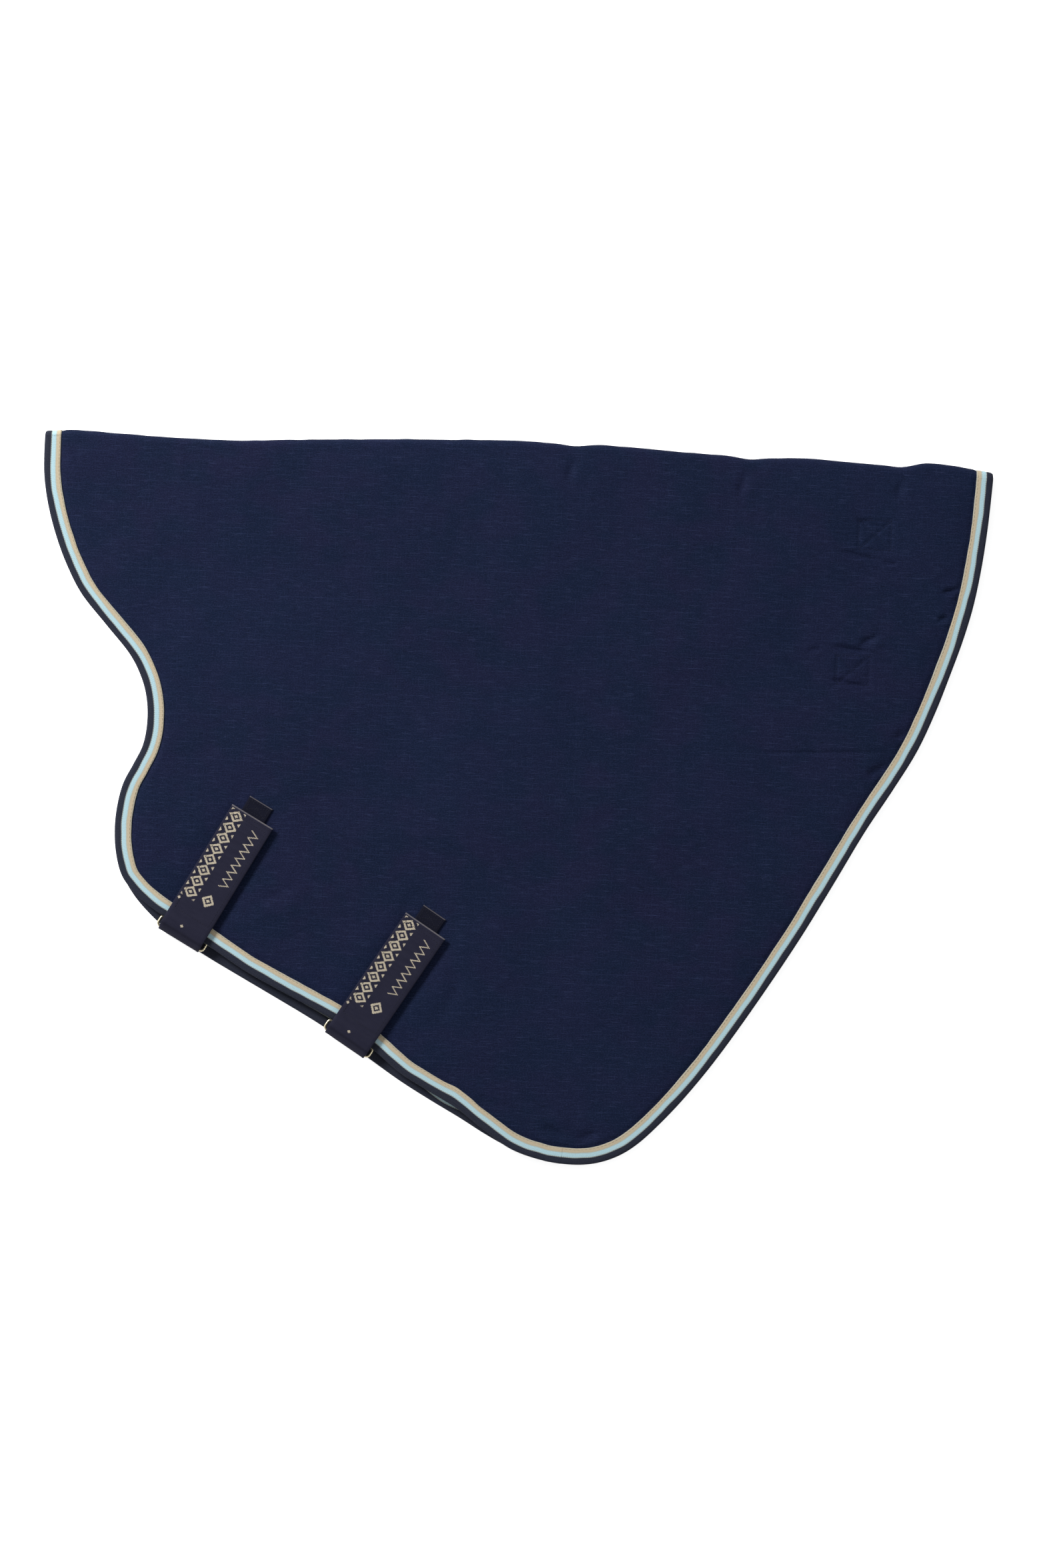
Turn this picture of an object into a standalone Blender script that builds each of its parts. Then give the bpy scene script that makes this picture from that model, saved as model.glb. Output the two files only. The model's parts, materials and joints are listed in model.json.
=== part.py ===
"""Detachable neck cover of a horse turnout rug, folded in half along its crest and laid flat.

X runs along the crest, with the withers end at +X. Y points from the throat to the crest, and Z
is up. The off side lies underneath and the near side is folded over it. Lengths are in metres.
"""

import math

import bmesh
import bpy
from mathutils import Vector
from mathutils.geometry import interpolate_bezier

GAP = 0.0003  # air between two pieces that touch

# cloth thicknesses
SHELL_T = 0.0008
LINING_T = 0.0006
FILL_T = 0.0030
BINDING_T = 0.0008
STRAP_T = 0.0014
TAB_T = 0.0010
TAPE_T = 0.0008
INNER_WEBBING_T = 0.0010
INNER_TAPE_T = 0.0006

# the folded stack
STACK_H = 0.0148
Z_MID = STACK_H / 2
CREST_Y = 0.378  # outermost line of the fold
BEND_R = Z_MID - GAP / 2
BEND_Y = CREST_Y - BEND_R  # where the cloth starts to turn round the fold
BEND_STEPS = 4

# bound edges: the shell and lining come together inside a folded tape
BINDING_W = 0.0175
STEP_W = 0.003  # width over which shell and lining part again, past the tape
EDGE_SHELL_Z = BINDING_T + GAP
EDGE_LINING_Z = EDGE_SHELL_Z + SHELL_T + GAP
EDGE_TOP_Z = EDGE_LINING_Z + LINING_T + GAP
FILL_Z = SHELL_T + GAP
LINING_Z = FILL_Z + FILL_T + GAP

# one side's edge from the crest down the front, along the throat and up the withers edge
FRONT_EDGE = [
    (-0.499, BEND_Y), (-0.498, 0.320), (-0.484, 0.262), (-0.454, 0.200), (-0.401, 0.139),
    (-0.381, 0.092), (-0.383, 0.044), (-0.402, 0.003), (-0.409, -0.045), (-0.399, -0.095),
]
OFF_THROAT = [
    (-0.370, -0.133), (-0.330, -0.163), (-0.271, -0.196), (-0.206, -0.231), (-0.160, -0.258),
    (-0.098, -0.299), (-0.034, -0.335),
]
NEAR_THROAT = [
    (-0.365, -0.128), (-0.327, -0.150), (-0.266, -0.189), (-0.200, -0.222), (-0.148, -0.250),
    (-0.098, -0.290), (-0.038, -0.324),
]
WITHERS_EDGE = [
    (0.020, -0.364), (0.080, -0.378), (0.130, -0.369), (0.174, -0.334), (0.235, -0.258),
    (0.315, -0.132), (0.378, -0.018), (0.430, 0.070), (0.462, 0.153), (0.483, 0.225),
    (0.494, 0.300), (0.499, BEND_Y),
]
POINTS_PER_SPAN = 2

# throat closures: (name, middle of the strap's fold, direction from fold to free end in degrees)
CLOSURES = [
    ("front", (-0.3380, -0.1600), 61.0),
    ("rear", (-0.1590, -0.2630), 58.0),
]
STRAP_W = 0.050
STRAP_LENGTH = 0.152
BASE_W = 0.028
BASE_BEYOND_STRAP = 0.017
WIRE_R = 0.0013
RING_DEPTH = 0.012  # between the middles of the ring's two bars
RING_HALF_W = 0.028  # from the ring's middle to the middle of a side bar
RING_CORNER_R = 0.004
CURL_R = WIRE_R + GAP + STRAP_T / 2  # middle of the strap as it turns round the bar
SLOPE_END = 0.017  # from the outer bar to where the strap lies flat
TAB_W = 0.040
TAB_LOOP_R = WIRE_R + GAP + TAB_T / 2
TAB_END = 0.042
BASE_START = 0.0140
PATCH_START = 0.0240
PATCH_END = 0.1440
PATCH_W = 0.044

# heights on the near side's outer face
BASE_Z = STACK_H + GAP
PATCH_Z = BASE_Z + STRAP_T + GAP
HOOK_Z = PATCH_Z + TAPE_T + GAP
FLAP_Z = HOOK_Z + TAPE_T + GAP

# inner attachment straps: (name, middle of the sewn base)
ATTACHMENTS = [("upper", (0.3765, 0.2956)), ("lower", (0.3590, 0.1530))]
ATTACHMENT_W = 0.038
SEWN_LENGTH = 0.035
FREE_LENGTH = 0.095
INNER_TAPE_W = 0.030
INNER_LOOP_LENGTH = 0.027
INNER_HOOK_LENGTH = 0.040
TAPE_MARGIN = 0.004

COLOURS = {  # material: (red, green, blue), roughness, metallic
    "ripstop_shell": ((0.0097, 0.0137, 0.0382), 0.55, 0.0),
    "lining_cloth": ((0.0180, 0.0200, 0.0300), 0.45, 0.0),
    "wadding": ((0.8000, 0.8000, 0.7800), 0.95, 0.0),
    "edge_binding": ((0.0262, 0.0296, 0.0452), 0.75, 0.0),
    "strap_webbing": ((0.0242, 0.0252, 0.0395), 0.70, 0.0),
    "hook_tape": ((0.0120, 0.0120, 0.0140), 0.60, 0.0),
    "loop_tape": ((0.0160, 0.0160, 0.0190), 0.90, 0.0),
    "ring_metal": ((0.6200, 0.6000, 0.5400), 0.30, 1.0),
}


def clear_scene():
    for item in list(bpy.data.objects):
        bpy.data.objects.remove(item, do_unlink=True)


def material(name):
    """The named material, made on first use."""
    if name in bpy.data.materials:
        return bpy.data.materials[name]
    colour, roughness, metallic = COLOURS[name]
    made = bpy.data.materials.new(name)
    made.use_nodes = True
    shader = made.node_tree.nodes["Principled BSDF"]
    shader.inputs["Base Color"].default_value = (*colour, 1.0)
    shader.inputs["Roughness"].default_value = roughness
    shader.inputs["Metallic"].default_value = metallic
    made.diffuse_color = (*colour, 1.0)
    return made


def add_empty(name, location, turn=0.0, parent=None):
    """An empty on a hinge, turned about Z."""
    empty = bpy.data.objects.new(name, None)
    empty.empty_display_size = 0.02
    empty.location = location
    empty.rotation_euler = (0.0, 0.0, turn)
    bpy.context.collection.objects.link(empty)
    if parent:
        keep_place(empty, parent)
    return empty


def keep_place(child, parent):
    """Parents child without moving it."""
    bpy.context.view_layer.update()
    child.parent = parent
    child.matrix_parent_inverse = parent.matrix_world.inverted()


def add_object(name, mesh_or_curve, material_name, parent):
    mesh_or_curve.materials.append(material(material_name))
    item = bpy.data.objects.new(name, mesh_or_curve)
    bpy.context.collection.objects.link(item)
    item.parent = parent
    return item


def mesh_from(bm, name):
    bmesh.ops.recalc_face_normals(bm, faces=bm.faces)
    mesh = bpy.data.meshes.new(name)
    bm.to_mesh(mesh)
    bm.free()
    mesh.set_sharp_from_angle(angle=math.radians(30))
    return mesh


# ---------------------------------------------------------------- the cover's two sides


def smooth_edge(points):
    """A smooth curve through the points, as a list of 2-D vectors."""
    knots = [Vector((x, y, 0.0)) for x, y in points]
    ends = [knots[0] * 2 - knots[1], *knots, knots[-1] * 2 - knots[-2]]
    curve = []
    for before, start, end, after in zip(ends, ends[1:], ends[2:], ends[3:]):
        out_handle = start + (end - before) / 6
        in_handle = end - (after - start) / 6
        curve += interpolate_bezier(start, out_handle, in_handle, end, POINTS_PER_SPAN + 1)[:-1]
    return [point.to_2d() for point in [*curve, knots[-1]]]


def inset(edge, distance):
    """The edge moved inwards. Its two ends only move along X, so they stay on the crest's line."""
    moved = [edge[0] + Vector((distance, 0.0))]
    for before, here, after in zip(edge, edge[1:], edge[2:]):
        first = (here - before).normalized()
        second = (after - here).normalized()
        along = (first + second).normalized()
        inwards = Vector((-along.y, along.x))
        moved.append(here + inwards * (distance / along.dot(first)))
    moved.append(edge[-1] - Vector((distance, 0.0)))
    return moved


class Side:
    """One half of the cover. The near half is the off half turned over in Z."""

    def __init__(self, name, throat, flipped, parent):
        self.name = name
        self.edge = smooth_edge(FRONT_EDGE + throat + WITHERS_EDGE)
        self.flipped = flipped
        self.parent = parent

    def height(self, z):
        return STACK_H - z if self.flipped else z

    def add_layer(self, piece, profile, closed, material_name):
        """Runs a profile of (inset, height) pairs round the edge and turns its end up the fold.

        A closed profile is a channel. An open one is a sheet, whose first and last rows are the
        rims of its two faces.
        """
        bm = bmesh.new()
        rows = []
        for distance, z in profile:
            ring = inset(self.edge, distance)
            rows.append([bm.verts.new((p.x, p.y, self.height(z))) for p in ring])
        pairs = list(zip(rows, rows[1:]))
        if closed:
            pairs.append((rows[-1], rows[0]))
            fold_faces = [bm.faces.new([row[0] for row in rows])]
            fold_faces.append(bm.faces.new([row[-1] for row in reversed(rows)]))
        else:
            bm.faces.new(rows[0])
            bm.faces.new(list(reversed(rows[-1])))
            ends = [row[0] for row in rows] + [row[-1] for row in reversed(rows)]
            fold_faces = [bm.faces.new(ends)]
        for upper, lower in pairs:
            for n in range(len(upper) - 1):
                bm.faces.new((upper[n], lower[n], lower[n + 1], upper[n + 1]))
        turn = -math.pi / 2 if self.flipped else math.pi / 2
        axis_z = Z_MID + (GAP / 2 if self.flipped else -GAP / 2)
        bmesh.ops.spin(
            bm,
            geom=fold_faces,
            cent=(0.0, BEND_Y, axis_z),
            axis=(1.0, 0.0, 0.0),
            angle=turn,
            steps=BEND_STEPS,
        )
        bmesh.ops.delete(bm, geom=fold_faces, context="FACES_ONLY")
        name = f"{self.name}_{piece}"
        return add_object(name, mesh_from(bm, name), material_name, self.parent)

    def add_sheet(self, piece, thickness, edge_z, middle_z, material_name):
        """A cloth sheet that lies at edge_z inside the binding and at middle_z past it."""
        rim = BINDING_T + GAP
        bound = BINDING_W + GAP
        middle = bound + STEP_W
        profile = [
            (middle, middle_z + thickness), (bound, edge_z + thickness), (rim, edge_z + thickness),
            (rim, edge_z), (bound, edge_z), (middle, middle_z),
        ]
        return self.add_layer(piece, profile, False, material_name)

    def add_all_layers(self):
        self.add_sheet("outer_shell", SHELL_T, EDGE_SHELL_Z, 0.0, "ripstop_shell")
        self.add_sheet("lining", LINING_T, EDGE_LINING_Z, LINING_Z, "lining_cloth")
        fill_rim = BINDING_W + STEP_W + 3 * GAP
        fill = [(fill_rim, FILL_Z + FILL_T), (fill_rim, FILL_Z)]
        self.add_layer("fill", fill, False, "wadding")
        self.add_layer("edge_binding", binding_profile(), True, "edge_binding")


def binding_profile():
    """The tape's section: two legs joined outside the cover's edge."""
    top = EDGE_TOP_Z + BINDING_T
    return [
        (0.0, 0.0), (BINDING_W, 0.0), (BINDING_W, BINDING_T), (BINDING_T, BINDING_T),
        (BINDING_T, EDGE_TOP_Z), (BINDING_W, EDGE_TOP_Z), (BINDING_W, top), (0.0, top),
    ]


# ---------------------------------------------------------------- straps and tapes


def ribbon_mesh(name, path, thickness, width):
    """Webbing along a path of (along, up) points, with its width across, about Y = 0."""
    points = [Vector(p) for p in path]
    left, right = [], []
    for n, here in enumerate(points):
        first = (here - points[n - 1]).normalized() if n else (points[1] - here).normalized()
        last = n == len(points) - 1
        second = first if last else (points[n + 1] - here).normalized()
        along = (first + second).normalized()
        across = Vector((-along.y, along.x)) * (thickness / 2 / along.dot(first))
        left.append(here + across)
        right.append(here - across)
    section = left + right[::-1]
    bm = bmesh.new()
    face = bm.faces.new([bm.verts.new((p.x, -width / 2, p.y)) for p in section])
    grown = bmesh.ops.extrude_face_region(bm, geom=[face], use_keep_orig=True)
    moved = [v for v in grown["geom"] if isinstance(v, bmesh.types.BMVert)]
    bmesh.ops.translate(bm, verts=moved, vec=(0.0, width, 0.0))
    return mesh_from(bm, name)


def arc(centre, radius, start, end, steps):
    """Points on a circle, from start to end degrees."""
    angles = [math.radians(start + (end - start) * n / steps) for n in range(steps + 1)]
    return [(centre[0] + radius * math.cos(a), centre[1] + radius * math.sin(a)) for a in angles]


def flat_path(start, end, bottom, thickness):
    """A straight path at the height of a tape whose underside is at bottom."""
    z = bottom + thickness / 2 - Z_MID
    return [(start, z), (end, z)]


def flap_path():
    """The strap's flap: round the outside of the ring's bar, up over the edge and along."""
    level = FLAP_Z + STRAP_T / 2 - Z_MID
    reach = math.hypot(SLOPE_END, level)
    tangent = math.degrees(math.atan2(level, SLOPE_END) + math.acos(CURL_R / reach))
    curl = arc((0.0, 0.0), CURL_R, 180.0, tangent, 3)
    return [*curl, (SLOPE_END, level), (STRAP_LENGTH - CURL_R, level)]


def tab_path():
    """The tab's two layers, joined by a loop round the ring's inner bar."""
    lower = LINING_Z + LINING_T + GAP + TAB_T / 2 - Z_MID
    upper = lower + TAB_T + GAP
    loop = arc((RING_DEPTH, 0.0), TAB_LOOP_R, 290.0, 60.0, 8)
    parting = RING_DEPTH + 0.007
    return [(TAB_END, lower), (parting, lower), *loop, (parting + 0.001, upper), (TAB_END, upper)]


def ring_curve(name):
    """A rectangle of wire with round corners. Its outer bar is on X = 0."""
    spline_points = []
    corners = [(1, 1, 0.0), (0, 1, 90.0), (0, -1, 180.0), (1, -1, 270.0)]
    for deep, side, start in corners:
        x = RING_CORNER_R if not deep else RING_DEPTH - RING_CORNER_R
        y = side * (RING_HALF_W - RING_CORNER_R)
        spline_points += arc((x, y), RING_CORNER_R, start, start + 90.0, 3)
    curve = bpy.data.curves.new(name, "CURVE")
    curve.dimensions = "3D"
    spline = curve.splines.new("POLY")
    spline.points.add(len(spline_points) - 1)
    for point, (x, y) in zip(spline.points, spline_points):
        point.co = (x, y, 0.0, 1.0)
    spline.use_cyclic_u = True
    curve.bevel_depth = WIRE_R
    curve.bevel_resolution = 2
    curve.render_resolution_u = 0
    return curve


def add_ribbon(name, path, thickness, width, material_name, parent):
    return add_object(name, ribbon_mesh(name, path, thickness, width), material_name, parent)


def add_closure(name, fold, degrees, near_side, off_side):
    """One throat closure: strap, tapes, ring and the tab that holds the ring."""
    turn = math.radians(degrees)
    inwards = Vector((math.cos(turn), math.sin(turn), 0.0))
    bar = Vector((*fold, Z_MID)) + inwards * (CURL_R + STRAP_T / 2)
    inner_bar = bar + inwards * RING_DEPTH
    on_near = add_empty(f"{name}_closure_on_near_side", bar, turn, near_side)
    on_off = add_empty(f"{name}_closure_on_off_side", bar, turn, off_side)
    peel = add_empty(f"{name}_strap_hinge", bar, turn, near_side)
    ring_hinge = add_empty(f"{name}_ring_hinge", inner_bar, turn, off_side)

    base_end = STRAP_LENGTH - CURL_R + BASE_BEYOND_STRAP
    base = flat_path(BASE_START, base_end, BASE_Z, STRAP_T)
    add_ribbon(f"{name}_strap_base", base, STRAP_T, BASE_W, "strap_webbing", on_near)
    patch = flat_path(PATCH_START, PATCH_END, PATCH_Z, TAPE_T)
    add_ribbon(f"{name}_loop_patch", patch, TAPE_T, PATCH_W, "loop_tape", on_near)

    add_ribbon(f"{name}_strap", flap_path(), STRAP_T, STRAP_W, "strap_webbing", peel)
    hook = flat_path(PATCH_START, PATCH_END, HOOK_Z, TAPE_T)
    add_ribbon(f"{name}_hook_tape", hook, TAPE_T, PATCH_W, "hook_tape", peel)

    ring = add_object(f"{name}_ring", ring_curve(f"{name}_ring"), "ring_metal", ring_hinge)
    ring.location = (-RING_DEPTH, 0.0, 0.0)
    add_ribbon(f"{name}_ring_tab", tab_path(), TAB_T, TAB_W, "strap_webbing", on_off)


def add_attachment(side, name, middle):
    """One inner attachment strap. It is sewn on at its upper end and hangs towards the throat."""
    label = f"{side.name}_{name}_attachment"
    down = -1.0 if side.flipped else 1.0  # from the lining into the fold
    lining_face = side.height(LINING_Z + LINING_T)
    webbing_z = lining_face + down * (GAP + INNER_WEBBING_T / 2)
    free_face = lining_face + down * (GAP + INNER_WEBBING_T)
    tape_z = free_face + down * (GAP + INNER_TAPE_T / 2)
    x, y = middle
    hinge_y = y - SEWN_LENGTH / 2 - GAP / 2
    sewn = add_empty(f"{label}_sewn_end", (x, hinge_y, 0.0), -math.pi / 2, side.parent)
    hinge = add_empty(f"{label}_hinge", (x, hinge_y, free_face), -math.pi / 2, side.parent)

    def lay(piece, start, end, z, thickness, width, material_name, parent):
        path = [(start, z), (end, z)]
        add_ribbon(f"{label}_{piece}", path, thickness, width, material_name, parent)

    sewn_start = -GAP / 2 - SEWN_LENGTH
    lay("base", sewn_start, -GAP / 2, webbing_z, INNER_WEBBING_T, ATTACHMENT_W, "strap_webbing", sewn)
    loop_start = sewn_start + TAPE_MARGIN
    loop_end = loop_start + INNER_LOOP_LENGTH
    lay("loop_tape", loop_start, loop_end, tape_z, INNER_TAPE_T, INNER_TAPE_W, "loop_tape", sewn)

    strap_z = webbing_z - free_face
    strap_end = GAP / 2 + FREE_LENGTH
    lay("strap", GAP / 2, strap_end, strap_z, INNER_WEBBING_T, ATTACHMENT_W, "strap_webbing", hinge)
    hook_end = strap_end - TAPE_MARGIN
    hook_start = hook_end - INNER_HOOK_LENGTH
    hook_z = tape_z - free_face
    lay("hook_tape", hook_start, hook_end, hook_z, INNER_TAPE_T, INNER_TAPE_W, "hook_tape", hinge)


def main():
    clear_scene()
    off_root = add_empty("off_side", (0.0, 0.0, 0.0))
    near_root = add_empty("near_side_hinge", (0.0, CREST_Y + GAP, Z_MID), 0.0, off_root)
    off_side = Side("off", OFF_THROAT, False, off_root)
    near_side = Side("near", NEAR_THROAT, True, near_root)
    off_side.add_all_layers()
    near_side.add_all_layers()
    for piece in near_root.children:
        piece.matrix_parent_inverse = near_root.matrix_world.inverted()
    for name, fold, degrees in CLOSURES:
        add_closure(name, fold, degrees, near_root, off_root)
    for side in (off_side, near_side):
        for name, middle in ATTACHMENTS:
            add_attachment(side, name, middle)


main()
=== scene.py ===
import json
import math

import bpy
import numpy as np
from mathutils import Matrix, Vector, noise
from mathutils.bvhtree import BVHTree
from mathutils.geometry import delaunay_2d_cdt
from mathutils.kdtree import KDTree


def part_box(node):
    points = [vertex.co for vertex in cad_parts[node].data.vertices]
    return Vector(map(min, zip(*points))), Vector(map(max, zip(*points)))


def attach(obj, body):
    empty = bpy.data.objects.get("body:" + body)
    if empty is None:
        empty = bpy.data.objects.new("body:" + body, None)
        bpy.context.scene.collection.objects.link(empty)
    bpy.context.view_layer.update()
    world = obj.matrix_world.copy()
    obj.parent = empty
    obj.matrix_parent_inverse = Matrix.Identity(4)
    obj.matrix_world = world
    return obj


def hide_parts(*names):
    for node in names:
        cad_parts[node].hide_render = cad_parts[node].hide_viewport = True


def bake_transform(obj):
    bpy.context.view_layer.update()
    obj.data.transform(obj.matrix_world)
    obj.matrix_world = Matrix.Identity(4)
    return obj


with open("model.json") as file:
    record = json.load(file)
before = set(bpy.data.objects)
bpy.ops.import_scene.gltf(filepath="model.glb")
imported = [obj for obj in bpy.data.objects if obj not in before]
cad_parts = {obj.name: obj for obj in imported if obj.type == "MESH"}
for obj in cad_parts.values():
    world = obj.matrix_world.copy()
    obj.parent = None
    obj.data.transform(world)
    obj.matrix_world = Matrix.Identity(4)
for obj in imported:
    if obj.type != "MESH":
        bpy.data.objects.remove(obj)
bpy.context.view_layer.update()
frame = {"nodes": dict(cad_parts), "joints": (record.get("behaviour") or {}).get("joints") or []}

# Looks of the neck cover of a turnout rug, folded in half along its crest and laid flat.
# X runs along the crest, Y from the throat to the crest and Z up, in metres. A side's layers are
# given by their height above the middle of the fold, so that the off side is the near side
# turned over.

MM = 0.001

# the fold, from the CAD pieces
STACK_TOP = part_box("near_edge_binding")[1].z
MID_Z = STACK_TOP / 2
CREST_END_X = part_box("near_edge_binding")[1].x
BINDING_W = 17.5 * MM
TAPE_DEPTH = 3.9 * MM  # from the outer face of a bound edge to its inner face
INNER_LEG_SHIFT = 3.6 * MM  # the stripes start this much further from the edge inside the fold

# heights of the faces above the middle of the fold: (in the binding, past it)
SHELL_FACE = (6.3 * MM, 7.4 * MM)
SHELL_T = 0.8 * MM
LINING_FACE = (4.6 * MM, 2.4 * MM)
LINING_T = 0.6 * MM
WADDING_FACES = (3.3 * MM, 6.3 * MM)  # its inner and its outer face
# where the layers pass from the one height to the other, inside the edge
STEP_START = BINDING_W + 0.2 * MM
STEP_END = BINDING_W + 4.5 * MM

# outermost line of the fold, in millimetres: it wanders, because the cloth is soft
CREST_WAVE = [
    (-499, 370), (-478, 371.7), (-455, 372), (-430, 370.5), (-410, 370), (-372, 368.5),
    (-329, 368), (-290, 368.2), (-245, 371), (-200, 373.2), (-161, 375), (-120, 376.8),
    (-77, 378), (-36, 379.4), (7, 380), (40, 378.4), (58, 376.6), (74, 378.6), (91, 379),
    (130, 377.4), (175, 375), (218, 373.4), (240, 370.6), (259, 372), (301, 374), (343, 372),
    (386, 370), (404, 369), (427, 374), (452, 373), (470, 370.8), (484, 368.6), (499, 366.6),
]

# soft creases in the near side's cloth, in millimetres: (from, to, depth, half width)
CREASE_DEPTH = 3.4  # times the depths given
CREASES = [
    ((258, 62), (400, 68), 0.26, 1.8),
    ((356.7, 311), (389, 303), 0.42, 2.2),
    ((336.6, 278), (384.5, 268.6), 0.55, 2.4),
    ((384.5, 268.6), (401.7, 265.4), 0.40, 2.0),
    ((448.6, 238.3), (468.3, 242.1), 0.70, 2.4),
    ((445.3, 208.9), (460.3, 214.2), 0.60, 2.4),
    ((334.5, 176.8), (377.8, 172.4), 0.74, 2.6),
    ((363, 178.4), (386.5, 192), 0.58, 3.3),
    ((334.5, 143.2), (374.8, 135.8), 0.50, 2.2),
    ((310, 172), (326, 174), 0.35, 2.6),
    ((286, 163), (300, 154), 0.30, 3.0),
    ((378, 44), (402, 53), 0.75, 4.0),
    ((405, 82), (418, 90), 0.60, 4.0),
    ((52, -338), (78, -350), 0.75, 5.0),
    ((90, -352), (112, -343), 0.55, 4.5),
    ((-120, -180), (-84, -128), 0.35, 6.0),
    ((-60, -240), (-36, -176), 0.30, 7.0),
    ((-262, -120), (-214, -96), 0.30, 6.0),
    ((-468, 352), (-462, 338), 0.30, 3.0),
    ((-352, 352), (-338, 330), 0.28, 4.0),
    ((58, 368), (52, 338), 0.42, 4.0),
    ((240, 364), (232, 330), 0.45, 4.0),
    ((404, 362), (398, 334), 0.45, 4.0),
]

# box stitching of the inner straps: (name, middle), in millimetres
PATCHES = [("upper", (376.5, 295.6)), ("lower", (359.0, 153.0))]
PATCH_HALF = (17.0 * MM, 15.5 * MM)

# throat closures, in the frame of each ring's outer bar
STRAP_HALF_W = 25 * MM
STRAP_T = 1.4 * MM
WIRE_R = 1.3 * MM
CURL_R = 2.3 * MM
CURL_TURN = (-62, -215)  # degrees round the ring's bar, where the strap meets and leaves it
FOLD_CUT = 2.8 * MM  # how far inside the bar's middle the curl ends and the flap begins
RING_DEPTH = 12 * MM
RING_HALF_W = 28 * MM
RING_CORNER_R = 4 * MM
RING_SIDES = 16
STRAP_STEP = 1.2 * MM  # between rings of points, where webbing bends
FLAP_Z = 12.3 * MM  # all heights above the middle of the fold
FLAP_START = 12.4 * MM
FLAP_END = 149.7 * MM
BASE_Z = 8.4 * MM
BASE_START = 13.6 * MM
BASE_END = 166.7 * MM
BASE_HALF_W = 14 * MM
HOOK_Z = 10.9 * MM
LOOP_Z = 9.8 * MM
PAD_SPAN = (24 * MM, 144 * MM)
PAD_SIZE = (22 * MM, 0.8 * MM)  # half width and thickness

# inner straps and tabs
INNER_WEBBING_T = 1.0 * MM
INNER_PAD_T = 0.6 * MM

FLOOR_SIZE = 30.0
FLOOR_Z = -0.3 * MM  # just under the cover
FLOOR_GLOW = 0.66
SKY_STRENGTH = 0.38
# (name, place, size, power)
LIGHTS = [("key", (-2.8, 2.3, 2.3), 1.2, 250), ("fill", (2.4, -1.8, 3.4), 2.4, 22)]
CAMERA_TURN = 0.0414
CAMERA_AIM = (0.0173, 0.0193)
VIEW_LONG_SIDE = 1.6464
LENS_MM = 85.0
SENSOR_MM = 36.0


# ------------------------------------------------------------------ meshes


def smoothstep(x, low, high):
    t = np.clip((np.asarray(x, float) - low) / (high - low), 0.0, 1.0)
    return t * t * (3 - 2 * t)


def lengths_along(line):
    """How far along a line each of its points is."""
    return np.concatenate([[0], np.cumsum(np.linalg.norm(np.diff(line, axis=0), axis=1))])


def vertex_normals(points, triangles):
    a, b, c = (points[triangles[:, i]] for i in range(3))
    face = np.cross(b - a, c - a)
    total = np.zeros_like(points)
    for i in range(3):
        np.add.at(total, triangles[:, i], face)
    return total / np.maximum(np.linalg.norm(total, axis=1), 1e-12)[:, None]


def closed_faces(triangles, count):
    """The triangles, the same ones facing back on a second layer of count points, and the rim."""
    edges = np.concatenate([triangles[:, [0, 1]], triangles[:, [1, 2]], triangles[:, [2, 0]]])
    _, first, uses = np.unique(np.sort(edges, axis=1), axis=0, return_index=True,
                               return_counts=True)
    a, b = edges[first[uses == 1]].T
    sides = [np.column_stack([b, a, a + count]), np.column_stack([b, a + count, b + count])]
    return np.concatenate([triangles, triangles[:, ::-1] + count, *sides])


def tube_faces(rings, size, closed=False, inward=False):
    """Quads between rings of size points, with a face over each end if the tube isn't closed."""
    faces = []
    for k in range(rings if closed else rings - 1):
        a, b = k * size, (k + 1) % rings * size
        for i in range(size):
            j = (i + 1) % size
            faces.append((a + i, a + j, b + j, b + i) if inward else (a + i, b + i, b + j, a + j))
    if not closed:
        ends = [range(size), range(rings * size)[:-size - 1:-1]]
        faces += [tuple(end)[::-1] if inward else tuple(end) for end in ends]
    return faces


def new_piece(name, points, faces, material, uv, sharp=50):
    """A mesh object. uv has one row for each point, in metres."""
    mesh = bpy.data.meshes.new(name)
    mesh.from_pydata([tuple(p) for p in points], [], [tuple(int(i) for i in f) for f in faces])
    layer = mesh.uv_layers.new(name="Cut")
    corner = np.zeros(len(mesh.loops), np.int32)
    mesh.loops.foreach_get("vertex_index", corner)
    layer.data.foreach_set("uv", np.asarray(uv, np.float32)[corner].ravel())
    mesh.materials.append(material)
    mesh.shade_smooth()
    mesh.set_sharp_from_angle(angle=math.radians(sharp))
    piece = bpy.data.objects.new(name, mesh)
    bpy.context.scene.collection.objects.link(piece)
    return piece


def even_curve(points, step):
    """A smooth curve through the points, read at about even distances."""
    points = np.asarray(points, float)
    padded = np.vstack([2 * points[0] - points[1], points, 2 * points[-1] - points[-2]])
    t = np.linspace(0, 1, 12, endpoint=False)[:, None]
    runs = []
    for a, b, c, d in zip(padded, padded[1:], padded[2:], padded[3:]):
        runs.append(0.5 * (2 * b + (c - a) * t + (2 * a - 5 * b + 4 * c - d) * t**2
                           + (3 * b - a - 3 * c + d) * t**3))
    curve = np.vstack([*runs, points[-1:]])
    along = lengths_along(curve)
    at = np.linspace(0, along[-1], max(2, round(along[-1] / step) + 1))
    return np.stack([np.interp(at, along, curve[:, k]) for k in range(points.shape[1])], axis=1)


# ------------------------------------------------------------------ the cover's outline


crest_curve = even_curve(np.array(CREST_WAVE) * MM, 2 * MM)
crest_curve[:, 1] += [0.5 * MM * noise.noise(Vector((x / (16 * MM), 0, 40)))
                      for x, _ in crest_curve]


def crest_y(x):
    """Y of the outermost line of the fold."""
    return np.interp(x, crest_curve[:, 0], crest_curve[:, 1])


def bend_y(x):
    """Y of the middle of the fold's bend, where the cloth starts to turn."""
    return crest_y(x) - SHELL_FACE[1]


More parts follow.
